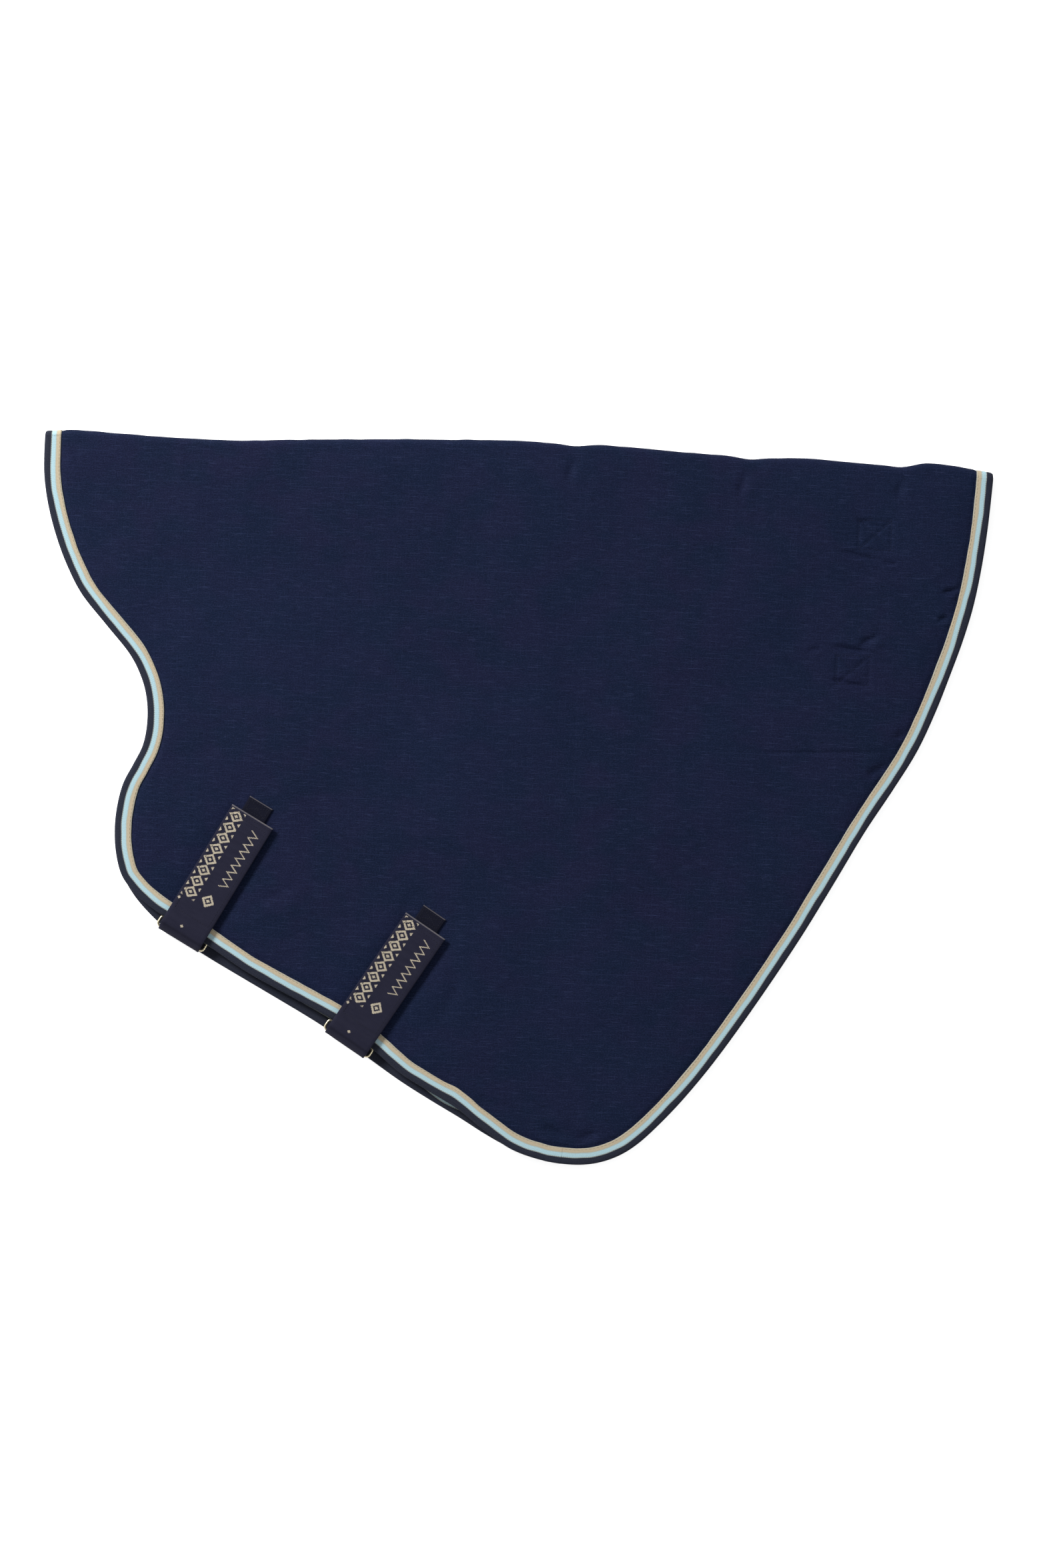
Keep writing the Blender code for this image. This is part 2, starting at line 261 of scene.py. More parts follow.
class Outline:
    """One side's outer edge, from the crest down the front and up the withers edge."""

    def __init__(self, node, top):
        corners = np.array([v.co[:] for v in frame["nodes"][node].data.vertices])
        corners = np.round(corners, 5)
        levels = np.unique(corners[corners[:, 1] < 0.3, 2])
        face, under = (levels[-1], levels[-2]) if top else (levels[0], levels[1])
        on_face = {tuple(p[:2]) for p in corners[np.isclose(corners[:, 2], face)]}
        on_under = {tuple(p[:2]) for p in corners[np.isclose(corners[:, 2], under)]}
        left = np.array(sorted(on_face - on_under))
        front = left[left[:, 0] < 0]
        chain = [front[front[:, 1].argmax()]]
        while len(left):
            near = np.linalg.norm(left - chain[-1], axis=1)
            chain.append(left[near.argmin()])
            left = np.delete(left, near.argmin(), axis=0)
        curve = even_curve(chain[1:], 2.5 * MM)
        inside = curve[:, 1] < bend_y(curve[:, 0]) - 0.5 * MM
        curve = curve[inside]
        ends = np.array([curve[0], curve[-1]])
        ends[:, 1] = bend_y(ends[:, 0])
        self.points = np.vstack([ends[:1], curve, ends[1:]])
        way = np.gradient(self.points, axis=0)
        for _ in range(3):
            way[1:-1] = (way[:-2] + way[1:-1] + way[2:]) / 3
        way /= np.linalg.norm(way, axis=1)[:, None]
        self.inwards = np.stack([-way[:, 1], way[:, 0]], axis=1)
        self.inwards[0] = (1, 0)
        self.inwards[-1] = (-1, 0)
        self.tree = KDTree(len(self.points))
        for i, (x, y) in enumerate(self.points):
            self.tree.insert((x, y, 0), i)
        self.tree.balance()

    def inset(self, distance):
        moved = self.points + self.inwards * distance
        moved[[0, -1], 1] = bend_y(moved[[0, -1], 0])
        return moved

    def depth(self, points):
        """How far points are inside the edge."""
        depths = np.empty(len(points))
        for k, (x, y) in enumerate(points):
            _, i, _ = self.tree.find((x, y, 0))
            depths[k] = (np.array((x, y)) - self.points[i]) @ self.inwards[i]
        return depths


near_outline = Outline("near_edge_binding", True)
off_outline = Outline("off_edge_binding", False)


def segment_distance(points, start, end):
    """Distance to a segment, and the share of it at the nearest place."""
    start, end = np.array(start), np.array(end)
    way = end - start
    share = ((points - start) @ way) / (way @ way)
    nearest = start + np.clip(share, 0, 1)[:, None] * way
    return np.linalg.norm(points - nearest, axis=1), share


def crease_points(start, end, half):
    """Rows of points along a crease, closest together in its valley."""
    start, end = np.array(start), np.array(end)
    length = np.linalg.norm(end - start)
    way = (end - start) / length
    side = np.array((-way[1], way[0]))
    along = np.arange(-1.5 * half, length + 1.5 * half, max(1.1 * half, 2.2 * MM))
    rows = []
    for n, off in enumerate((-2.7, -1.8, -1.1, -0.55, 0, 0.55, 1.1, 1.8, 2.7)):
        shift = (n % 2) * half / 2
        rows.append(start + np.outer(along + shift, way) + off * half * side)
    return np.vstack(rows)


def flat_mesh(outline, rim, spacing, crest_x, fine_spots=(), creases=(), stride=1):
    """Triangles over one side, inside its edge by rim, with the crest's points at crest_x.

    Returns the points, the triangles and the numbers of the points along the crest.
    """
    outer = outline.inset(rim)[1:-1:stride]
    crest = np.stack([crest_x, bend_y(crest_x)], axis=1)
    loop = np.vstack([outer, crest[::-1]])
    insets = [BINDING_W + d * MM for d in (-8, -1, 1, 2.5, 4.5, 7.5)]
    rings = [outline.inset(d)[::stride] for d in insets if d > rim + 1.5 * MM]
    low, high = outline.points.min(0), outline.points.max(0)
    rows = np.arange(low[1], high[1] + 10 * MM, spacing * math.sqrt(0.75))
    grid = []
    for n, y in enumerate(rows):
        x = np.arange(low[0], high[0], spacing) + (n % 2) * spacing / 2
        grid.append(np.stack([x, np.full(len(x), y)], axis=1))
    grid = np.vstack(grid)
    deep = outline.depth(grid)
    grid = grid[deep > BINDING_W + 10 * MM]
    for start, end, half in creases:
        far, _ = segment_distance(grid, start, end)
        grid = grid[far > 3.2 * half]
        near = crease_points(start, end, half)
        grid = np.vstack([grid, near[outline.depth(near) > BINDING_W + 9 * MM]])
    for (cx, cy, half, step) in fine_spots:
        keep = (np.abs(grid[:, 0] - cx) > half) | (np.abs(grid[:, 1] - cy) > half)
        grid = grid[keep]
        side = np.arange(-half, half, step)
        spot = np.array([(cx + a, cy + b + (i % 2) * step / 2)
                         for i, a in enumerate(side) for b in side])
        inside = outline.depth(spot) > BINDING_W + 10 * MM
        grid = np.vstack([grid, spot[inside]])
    inner = np.vstack([*rings, grid])
    inner = inner[inner[:, 1] < bend_y(inner[:, 0]) - 2 * MM]
    points = np.vstack([loop, inner])
    count = len(loop)
    edges = [(i, (i + 1) % count) for i in range(count)]
    found, _, faces, source, _, _ = delaunay_2d_cdt(
        [Vector(p) for p in points], edges, [], 1, 1e-7)
    made_from = {}
    for n, sources in enumerate(source):
        for s in sources:
            made_from[s] = n
    crest_numbers = [made_from[len(outer) + len(crest) - 1 - i] for i in range(len(crest))]
    return np.array([tuple(p) for p in found]), np.array(faces, int), crest_numbers


# ------------------------------------------------------------------ how the cloth lies


def face_height(depth, levels):
    """A layer's height above the middle of the fold, at a depth inside the edge."""
    return levels[0] + (levels[1] - levels[0]) * smoothstep(depth, STEP_START, STEP_END)


def rolling(points, size, seed):
    """Soft noise, from -1 to 1, with hills about size apart."""
    return np.array([noise.noise(Vector((x / size, y / size, seed))) for x, y in points])


def waves(points, rows):
    """Soft noise added up from rows of (height, size in millimetres, seed)."""
    return sum(height * MM * rolling(points, size * MM, seed) for height, size, seed in rows)


class Closure:
    """The frame of one throat closure: along the strap, across it, and up."""

    def __init__(self, name):
        self.name = name
        joint = next(j for j in frame["joints"] if j["name"] == f"{name}_strap_peel")
        self.origin = np.array(joint["pos_m"])
        self.across = np.array(joint["axis"])
        self.inwards = np.array((-self.across[1], self.across[0], 0.0))

    def place(self, points):
        """From (along, across, up) to the row frame."""
        points = np.asarray(points, float)
        return (self.origin + points[:, :1] * self.inwards + points[:, 1:2] * self.across
                + points[:, 2:] * np.array((0, 0, 1.0)))

    def local(self, points):
        flat = points - self.origin[:2]
        return np.stack([flat @ self.inwards[:2], flat @ self.across[:2]], axis=1)


closures = [Closure("front"), Closure("rear")]


def strap_shadow(points):
    """1 where a strap presses on the cloth, 0 away from the straps."""
    pressed = np.zeros(len(points))
    for closure in closures:
        along, across = closure.local(points).T
        outside = np.hypot(np.maximum(np.maximum(-along, along - BASE_END), 0),
                           np.maximum(np.abs(across) - STRAP_HALF_W, 0))
        pressed = np.maximum(pressed, 1 - smoothstep(outside, 0, 16 * MM))
    return pressed


def patch_quilt(points):
    """How the box stitching pulls the cloth down, with a pillow in each quarter."""
    pull = np.zeros(len(points))
    for _, (cx, cy) in PATCHES:
        x = (points[:, 0] - cx * MM) / PATCH_HALF[0]
        y = (points[:, 1] - cy * MM) / PATCH_HALF[1]
        box = np.abs(np.maximum(np.abs(x), np.abs(y)) - 1) * PATCH_HALF[1]
        cross = np.minimum(np.abs(x - y), np.abs(x + y)) * PATCH_HALF[1] / math.sqrt(2)
        cross = np.where(np.maximum(np.abs(x), np.abs(y)) < 1, cross, 1.0)
        line = np.minimum(box, cross)
        reach = np.maximum(np.abs(x), np.abs(y))
        pull += 0.85 * MM * np.exp(-(line / (1.7 * MM)) ** 2)
        pull += 0.5 * MM * (1 - smoothstep(reach, 0.6, 2.2))
    return pull


SETTLE_STEP = 9 * MM
SETTLE_FRAMES = 24
SETTLE_GROWTH = 0.0015  # how much longer the cloth is cut than the space it fills
SETTLE_CAP = 1.4 * MM
SETTLE_CELL = 3 * MM
START_WAVES = [(0.6, 70, 61.0), (0.3, 25, 62.0)]


def held_places(points, depth):
    """Where the near side's cloth is held down: its rim, the straps and the box stitching."""
    held = (depth < BINDING_W + 3 * MM) | (strap_shadow(points) > 0.5)
    held |= bend_y(points[:, 0]) - points[:, 1] < 4 * MM
    for _, (cx, cy) in PATCHES:
        apart = np.abs(points - (cx * MM, cy * MM))
        held |= (apart[:, 0] < PATCH_HALF[0]) & (apart[:, 1] < PATCH_HALF[1])
    return held


def run_settling(flat, faces, depth):
    """Cloth simulation of the near side's cloth, cut a little large. Returns its heights."""
    scene = bpy.context.scene
    mesh = bpy.data.meshes.new("settling")
    start_z = waves(flat, START_WAVES)
    held = held_places(flat, depth)
    start_z[held] = 0
    mesh.from_pydata([(x, y, z) for (x, y), z in zip(flat, start_z)], [],
                     [tuple(int(i) for i in face) for face in faces])
    cloth = bpy.data.objects.new("settling", mesh)
    scene.collection.objects.link(cloth)
    group = cloth.vertex_groups.new(name="held")
    group.add([int(i) for i in np.flatnonzero(held)], 1.0, "REPLACE")
    modifier = cloth.modifiers.new("settling", "CLOTH")
    settings = modifier.settings
    settings.quality = 5
    settings.mass = 0.05
    settings.air_damping = 2.0
    settings.tension_stiffness = 8
    settings.compression_stiffness = 8
    settings.shear_stiffness = 4
    settings.bending_stiffness = 8.0
    settings.vertex_group_mass = "held"
    settings.shrink_min = -SETTLE_GROWTH
    settings.effector_weights.gravity = 0
    modifier.point_cache.frame_start = 1
    modifier.point_cache.frame_end = SETTLE_FRAMES
    for number in range(1, SETTLE_FRAMES + 1):
        scene.frame_set(number)
    settled = cloth.evaluated_get(bpy.context.evaluated_depsgraph_get())
    heights = np.array([v.co.z for v in settled.data.vertices])
    scene.frame_set(1)
    bpy.data.objects.remove(cloth)
    bpy.data.meshes.remove(mesh)
    return SETTLE_CAP * np.tanh(heights / (2.5 * SETTLE_CAP))


def settled_heights():
    """The settled heights on a grid of cells over the near side: (corner, heights)."""
    crest_x = np.linspace(-CREST_END_X + BINDING_W, CREST_END_X - BINDING_W, 100)
    flat, faces, _ = flat_mesh(near_outline, BINDING_W, SETTLE_STEP, crest_x, stride=3)
    heights = run_settling(flat, faces, near_outline.depth(flat))
    tree = BVHTree.FromPolygons([(x, y, z) for (x, y), z in zip(flat, heights)],
                                [tuple(int(i) for i in face) for face in faces])
    corner = flat.min(0)
    count = np.ceil((flat.max(0) - corner) / SETTLE_CELL).astype(int) + 1
    cells = np.zeros(count)
    for i in range(count[0]):
        for j in range(count[1]):
            x, y = corner + np.array((i, j)) * SETTLE_CELL
            place = tree.ray_cast(Vector((x, y, 1.0)), Vector((0, 0, -1)))[0]
            cells[i, j] = place.z if place else 0.0
    kernel = np.exp(-np.linspace(-2, 2, 9) ** 2)
    kernel /= kernel.sum()
    cells = np.apply_along_axis(np.convolve, 0, cells, kernel, "same")
    return corner, np.apply_along_axis(np.convolve, 1, cells, kernel, "same")


SETTLED = settled_heights()


def settled_lift(points):
    """The settled height at each point, between the cells' corners."""
    if SETTLED is None:
        return np.zeros(len(points))
    corner, cells = SETTLED
    place = np.clip((points - corner) / SETTLE_CELL, 0, np.array(cells.shape) - 1.001)
    i, j = place.astype(int).T
    a, b = (place - np.floor(place)).T
    low = cells[i, j] * (1 - a) + cells[i + 1, j] * a
    high = cells[i, j + 1] * (1 - a) + cells[i + 1, j + 1] * a
    return low * (1 - b) + high * b


def lie_of_cloth(points, depth):
    """How much higher than the CAD's flat face the near side's outer cloth lies."""
    lift = 0.9 * MM * smoothstep(depth, BINDING_W, BINDING_W + 22 * MM) + settled_lift(points)
    lift += 0.5 * MM * rolling(points, 120 * MM, 1.0)
    lift += 0.3 * MM * rolling(points * (1.0, 2.2), 55 * MM, 5.0)
    near_edge = smoothstep(depth, BINDING_W, BINDING_W + 6 * MM) * (
        1 - smoothstep(depth, BINDING_W + 10 * MM, BINDING_W + 45 * MM))
    lift += near_edge * 0.5 * MM * rolling(points, 26 * MM, 9.0)
    for start, end, deep, half in CREASES:
        far, share = segment_distance(points, np.array(start) * MM, np.array(end) * MM)
        fade = smoothstep(share, -0.05, 0.3) * (1 - smoothstep(share, 0.7, 1.05))
        valley = np.exp(-(far / (half * MM)) ** 2)
        shoulder = np.exp(-((far - 2.6 * half * MM) / (1.6 * half * MM)) ** 2)
        lift += fade * deep * CREASE_DEPTH * MM * (0.35 * shoulder - valley)
    lift -= patch_quilt(points)
    free = smoothstep(depth, BINDING_W, BINDING_W + 5 * MM)
    free *= smoothstep(bend_y(points[:, 0]) - points[:, 1], 0, 22 * MM)
    return lift * free * (1 - strap_shadow(points))


# ------------------------------------------------------------------ materials


class Paint:
    """A material whose nodes are written as short expressions, and the colour laid so far."""

    def __init__(self, name, roughness, specular=0.06, sheen=0.0, metallic=0.0):
        self.material = bpy.data.materials.new(name)
        self.material.use_nodes = True
        self.tree = self.material.node_tree
        self.shader = self.tree.nodes["Principled BSDF"]
        self.shader.inputs["Roughness"].default_value = roughness
        self.shader.inputs["Sheen Weight"].default_value = sheen
        self.shader.inputs["Specular IOR Level"].default_value = specular
        self.shader.inputs["Metallic"].default_value = metallic
        cut = self.tree.nodes.new("ShaderNodeUVMap")
        cut.uv_map = "Cut"
        scaled = self.tree.nodes.new("ShaderNodeVectorMath")
        scaled.operation = "SCALE"
        scaled.inputs["Scale"].default_value = 1 / MM
        self.feed(scaled.inputs[0], cut.outputs["UV"])
        parts = self.tree.nodes.new("ShaderNodeSeparateXYZ")
        self.feed(parts.inputs[0], scaled.outputs[0])
        self.x, self.y = parts.outputs["X"], parts.outputs["Y"]  # in millimetres
        self.colour = None

    def feed(self, socket, value):
        """Give a socket another one's value, a number or a colour of three numbers."""
        if isinstance(value, bpy.types.NodeSocket):
            self.tree.links.new(value, socket)
        else:
            socket.default_value = (*value, 1) if isinstance(value, tuple) else value

    def math(self, operation, a, b=0.0, c=0.0):
        node = self.tree.nodes.new("ShaderNodeMath")
        node.operation = operation
        for socket, value in zip(node.inputs, (a, b, c)):
            self.feed(socket, value)
        return node.outputs[0]

    def add(self, a, b):
        return self.math("ADD", a, b)

    def times(self, a, b):
        return self.math("MULTIPLY", a, b)

    def either(self, a, b):
        return self.math("MAXIMUM", a, b)

    def less(self, a, b):
        return self.math("LESS_THAN", a, b)

    def more(self, a, b):
        return self.math("GREATER_THAN", a, b)

    def away(self, coordinate, middle, half):
        """The distance from the middle, in halves."""
        return self.times(self.math("ABSOLUTE", self.add(coordinate, -middle)), 1 / half)

    def stepped(self, coordinate, thread):
        """A coordinate in whole threads, so that a pattern's edges look woven."""
        number = self.math("FLOOR", self.times(coordinate, 1 / thread))
        return self.times(self.add(number, 0.5), thread)

    def ramp(self, value, low, high, to_low=0.0, to_high=1.0):
        """value from low to high as a smooth step from to_low to to_high."""
        node = self.tree.nodes.new("ShaderNodeMapRange")
        node.interpolation_type = "SMOOTHSTEP"
        self.feed(node.inputs["Value"], value)
        for name, number in (("From Min", low), ("From Max", high),
                             ("To Min", to_low), ("To Max", to_high)):
            node.inputs[name].default_value = number
        return node.outputs["Result"]

    def noise(self, scale_x, scale_y, detail, seed):
        """Noise with scale features to the millimetre each way, from 0 to 1."""
        place = self.tree.nodes.new("ShaderNodeCombineXYZ")
        self.feed(place.inputs["X"], self.times(self.x, scale_x))
        self.feed(place.inputs["Y"], self.times(self.y, scale_y))
        place.inputs["Z"].default_value = seed
        node = self.tree.nodes.new("ShaderNodeTexNoise")
        node.inputs["Scale"].default_value = 1.0
        node.inputs["Detail"].default_value = detail
        self.feed(node.inputs["Vector"], place.outputs[0])
        return node.outputs["Fac"]

    def spots(self, scale_x, scale_y, detail, seed, *steps):
        """Noise as a smooth step, where steps are ramp's low, high, to_low and to_high."""
        return self.ramp(self.noise(scale_x, scale_y, detail, seed), *steps)

    def threads(self, coordinate, pitch):
        """A soft wave, from 0 to 1, with one hill for each thread."""
        turn = self.times(coordinate, 2 * math.pi / pitch)
        return self.add(self.times(self.math("SINE", turn), 0.5), 0.5)

    def band(self, value, low, high, soft):
        """1 between low and high."""
        rise = self.ramp(value, low - soft, low + soft)
        fall = self.ramp(value, high - soft, high + soft, 1.0, 0.0)
        return self.times(rise, fall)

    def mix(self, share, first, second):
        """A blend of two colours, each three numbers or a socket."""
        node = self.tree.nodes.new("ShaderNodeMix")
        node.data_type = "RGBA"
        # by number, because sockets for other kinds of value have the same names
        for socket, value in ((0, share), (6, first), (7, second)):
            self.feed(node.inputs[socket], value)
        return node.outputs[2]

    def lay(self, share, *colour, strength=None):
        """Lay a display colour over what is there, as far as share and strength say."""
        if strength is not None:
            share = self.times(share, strength)
        self.colour = self.mix(share, self.colour, linear(*colour))

    def finish(self, height, depth):
        self.feed(self.shader.inputs["Base Color"], self.colour)
        bump = self.tree.nodes.new("ShaderNodeBump")
        bump.inputs["Strength"].default_value = 1.0
        bump.inputs["Distance"].default_value = depth
        self.feed(bump.inputs["Height"], height)
        self.feed(self.shader.inputs["Normal"], bump.outputs[0])
        return self.material


def linear(red, green, blue):
    """A display colour, 0 to 255, as a linear one."""
    shares = [c / 255 for c in (red, green, blue)]
    return tuple(c / 12.92 if c < 0.04045 else ((c + 0.055) / 1.055) ** 2.4 for c in shares)


def shell_material():
    """Fine navy polyester with slubs along the weft and a faint ripstop grid."""
    p = Paint("navy_shell_cloth", 0.75, specular=0.05)
    mottle = p.spots(0.02, 0.025, 4, 2, 0.38, 0.62)
    p.colour = p.mix(mottle, linear(16, 26, 48), linear(23, 26, 51))
    p.lay(p.spots(0.0035, 0.0035, 2, 7, 0.35, 0.65), 18, 28, 52, strength=0.6)
    weft = p.spots(0.06, 1.3, 3, 3, 0.56, 0.74)
    warp = p.spots(1.3, 0.10, 3, 4, 0.58, 0.78)
    p.lay(weft, 47, 55, 86, strength=0.62)
    p.lay(warp, 42, 49, 78, strength=0.40)
    p.lay(p.spots(0.12, 1.1, 3, 11, 0.55, 0.74), 10, 15, 31, strength=0.8)
    grain = p.spots(0.7, 0.9, 2, 31, 0.35, 0.68, -0.35, 0.3)
    p.lay(p.either(grain, 0.0), 40, 46, 74)
    p.lay(p.either(p.times(grain, -1.0), 0.0), 12, 16, 33)
    across = p.ramp(p.math("PINGPONG", p.y, 2.9), 2.45, 2.85)
    down = p.ramp(p.math("PINGPONG", p.x, 3.1), 2.7, 3.05)
    patchy = p.spots(0.05, 0.11, 2, 21, 0.42, 0.66)
    grid = p.times(p.either(across, p.times(down, 0.6)), patchy)
    p.lay(grid, 44, 53, 86, strength=0.30)
    weave = p.times(p.threads(p.x, 0.62), p.threads(p.y, 0.55))
    height = p.add(p.times(weave, 0.5), p.add(p.times(weft, 0.5), p.times(grid, 0.6)))
    return p.finish(height, 0.06 * MM)


def lining_material():
    """Smooth dark lining with a fine twill that wanders a little."""
    p = Paint("lining_twill", 0.72, specular=0.1)
    cloudy = p.spots(0.02, 0.02, 3, 1, 0.3, 0.7)
    p.colour = p.mix(cloudy, linear(30, 34, 48), linear(38, 42, 58))
    streak = p.spots(0.03, 1.1, 2, 5, 0.5, 0.75)
    p.lay(streak, 52, 58, 78, strength=0.4)
    wander = p.times(p.noise(0.12, 0.12, 2, 9), 6.0)
    twill = p.threads(p.add(p.add(p.x, p.y), wander), 1.1)
    return p.finish(p.add(p.times(twill, 0.6), p.times(streak, 0.4)), 0.04 * MM)


def wadding_material():
    """White polyester fibre."""
    p = Paint("wadding_fibre", 0.95, specular=0.1, sheen=0.1)
    fibre = p.noise(0.9, 0.25, 4, 1)
    clump = p.noise(0.08, 0.08, 3, 2)
    p.colour = p.mix(clump, linear(226, 226, 220), linear(242, 242, 240))
    return p.finish(p.add(fibre, clump), 0.6 * MM)


# the tape's stripes: (start and end in millimetres from the bound edge, display colour)
STRIPES = [
    (7.0, 8.2, 156, 163, 158), (7.8, 12.1, 171, 202, 210), (12.1, 12.9, 186, 190, 178),
    (12.9, 16.8, 188, 174, 148), (16.8, 19.0, 176, 172, 156),
]


def tape_material():
    """Woven edge tape, charcoal along the edge, with light blue, tan and cream stripes."""
    p = Paint("striped_edge_tape", 0.8)
    p.colour = p.mix(p.noise(0.06, 0.5, 3, 1), linear(26, 30, 43), linear(38, 41, 54))
    for start, end, *stripe in STRIPES:
        p.lay(p.band(p.y, start, end, 0.3), *stripe)
    p.lay(p.spots(0.9, 0.9, 2, 6, 0.35, 0.7), 84, 86, 90, strength=0.12)
    rib = p.threads(p.x, 0.95)
    ends = p.threads(p.y, 0.7)
    dash = p.times(p.band(p.y, 6.9, 7.9, 0.2), p.ramp(p.threads(p.x, 2.3), 0.55, 0.8))
    p.lay(dash, 40, 42, 52, strength=0.35)
    p.lay(p.ramp(rib, 0.0, 0.25, 0.28, 0.0), 60, 62, 70)
    return p.finish(p.add(p.times(rib, 0.7), p.times(ends, 0.4)), 0.10 * MM)


def webbing_paint(name, dark, light):
    """The paint of a plain ribbed webbing, and its height."""
    p = Paint(name, 0.8)
    p.colour = p.mix(p.noise(0.07, 0.2, 3, 8), linear(*dark), linear(*light))
    p.lay(p.spots(1.1, 0.08, 2, 3, 0.55, 0.8), *light, strength=0.3)
    return p, p.add(p.times(p.threads(p.y, 1.1), 0.6), p.times(p.threads(p.x, 0.9), 0.5))


# the strap's woven pattern, in millimetres: (middle across, half width, start, end)
DIAMOND_ROW = (-14.8, 8.2, 42.0, 147.0)
DIAMONDS = 8
ZIGZAG_ROW = (11.6, 4.4, 69.0, 136.6)
ZIGZAG_PITCH = 8.45
ZIGZAG_LINE = 1.15
LONE_DIAMOND = (6.1, 7.4, 49.3)  # middle across, half width, middle along
DOTS = [(-3.9, 12.8), (-22.0, 37.6)]
DOT_HALF = 1.9
PATTERN_THREADS = (0.55, 0.8)  # widths of a thread across and along


def strap_material():
    """Charcoal webbing with a beige woven pattern of diamonds and a zigzag."""
    p, height = webbing_paint("patterned_strap_webbing", (29, 29, 44), (39, 39, 54))
    u = p.stepped(p.x, PATTERN_THREADS[0])
    v = p.stepped(p.y, PATTERN_THREADS[1])
    # a row of framed diamonds on the left
    middle, half, start, end = DIAMOND_ROW
    half_v = (end - start) / DIAMONDS / 2
    along = p.times(p.math("PINGPONG", p.add(v, -start), half_v), 1 / half_v)
    size = p.add(p.away(u, middle, half), p.math("SUBTRACT", 1.0, along))
    frames = p.times(p.less(size, 1.0), p.more(size, 0.60))
    marks = p.either(p.less(size, 0.28), p.more(size, 1.66))
    inside = p.times(p.band(v, start, end, 0.05), p.less(p.away(u, middle, half), 1.0))
    motif = p.times(p.either(frames, marks), inside)
    # a thin zigzag on the right
    middle, half, start, end = ZIGZAG_ROW
    turn = p.math("PINGPONG", p.add(v, -start), ZIGZAG_PITCH / 2)
    swing = p.times(turn, 4 * half / ZIGZAG_PITCH)
    far = p.math("ABSOLUTE", p.add(p.add(u, half - middle), p.times(swing, -1.0)))
    line = p.less(far, ZIGZAG_LINE)
    motif = p.either(motif, p.times(line, p.band(v, start, end, 0.05)))
    # one diamond below the zigzag, and single dots
    middle, half, level = LONE_DIAMOND
    size = p.add(p.away(u, middle, half), p.away(v, level, half))
    ring = p.times(p.less(size, 1.0), p.more(size, 0.58))
    motif = p.either(motif, p.either(ring, p.less(size, 0.30)))
    for dot_u, dot_v in DOTS:
        size = p.add(p.away(u, dot_u, DOT_HALF), p.away(v, dot_v, DOT_HALF))
        motif = p.either(motif, p.less(size, 1.0))
    motif = p.times(motif, p.spots(1.6, 0.5, 2, 14, 0.25, 0.55, 0.62, 1.0))
    yarn = p.mix(p.noise(0.8, 1.4, 2, 15), linear(158, 148, 130), linear(190, 180, 160))
    p.colour = p.mix(motif, p.colour, yarn)
    # painted shade in the hollow above the ring, and the pale cut end
    p.lay(p.band(p.y, 3.4, 6.6, 1.6), 22, 22, 34, strength=0.55)
    # the pale cut end is partly a sealed edge and partly a painted highlight along its fold
    end = FLAP_END / MM
    p.lay(p.band(p.y, end - 1.3, end + 2.0, 0.2), 120, 116, 118, strength=0.55)
    return p.finish(p.add(height, p.times(motif, 0.6)), 0.10 * MM)


def plain_webbing_material(name, dark, light, cut_end=None):
    """Webbing of one colour; where it's cut, in millimetres along it, a paler line, partly painted
    highlight.
    """
    p, height = webbing_paint(name, dark, light)
    if cut_end:
        # the pale line at the cut end is partly a sealed edge and partly a painted highlight
        p.lay(p.band(p.y, cut_end - 1.0, cut_end + 2.0, 0.2), 104, 100, 104, strength=0.5)
    return p.finish(height, 0.14 * MM)


def touch_tape_material(name, dark, light, pitch, depth):
    """Hook or loop tape: a dense field of small tufts."""
    p = Paint(name, 0.9)
    tuft = p.times(p.threads(p.x, pitch), p.threads(p.y, pitch))
    fuzz = p.noise(1.8, 1.8, 3, 2)
    p.colour = p.mix(p.ramp(p.times(tuft, fuzz), 0.05, 0.5), linear(*dark), linear(*light))
    return p.finish(p.add(tuft, fuzz), depth)


def thread_material(name, dark, light):
    p = Paint(name, 0.7, specular=0.1)
    twist = p.threads(p.add(p.x, p.times(p.y, 2.0)), 0.5)
    p.colour = p.mix(twist, linear(*dark), linear(*light))
    return p.finish(twist, 0.05 * MM)


def ring_material():
    """Nickel-plated wire with fine draw marks."""
    p = Paint("nickel_wire", 0.3, specular=0.5, metallic=1.0)
    draw = p.noise(0.3, 6.0, 2, 3)
    p.colour = p.mix(draw, linear(232, 222, 192), linear(214, 202, 168))
    p.feed(p.shader.inputs["Roughness"], p.ramp(draw, 0.2, 0.8, 0.24, 0.42))
    return p.finish(draw, 0.02 * MM)


SHELL = shell_material()
LINING = lining_material()
WADDING = wadding_material()
TAPE = tape_material()
STRAP = strap_material()
PLAIN_STRAP = plain_webbing_material("plain_strap_webbing", (15, 16, 28), (24, 25, 38),
                                     BASE_END / MM)
INNER_WEBBING = plain_webbing_material("inner_webbing", (26, 28, 38), (42, 44, 56))
TOUCH_TAPES = {
    "hook": touch_tape_material("hook_tape", (16, 16, 20), (46, 46, 52), 1.0, 0.35 * MM),
    "loop": touch_tape_material("loop_tape", (20, 20, 24), (50, 50, 58), 0.7, 0.25 * MM),
}
RING = ring_material()
NAVY_THREAD = thread_material("navy_thread", (18, 23, 42), (30, 36, 60))
TAN_THREAD = thread_material("tan_thread", (160, 146, 120), (176, 162, 136))
DARK_THREAD = thread_material("charcoal_thread", (26, 27, 38), (44, 45, 56))


# ------------------------------------------------------------------ the cover's layers


BEND_STEPS = 12
CREST_STEP = 5 * MM
# where the near side's cloth has small folds: (x, y, half size, spacing)
FINE_SPOTS = [(cx * MM, cy * MM, 34 * MM, 1.7 * MM) for _, (cx, cy) in PATCHES]
CREASE_LINES = [(np.array(start) * MM, np.array(end) * MM, half * MM)
                for start, end, _, half in CREASES]


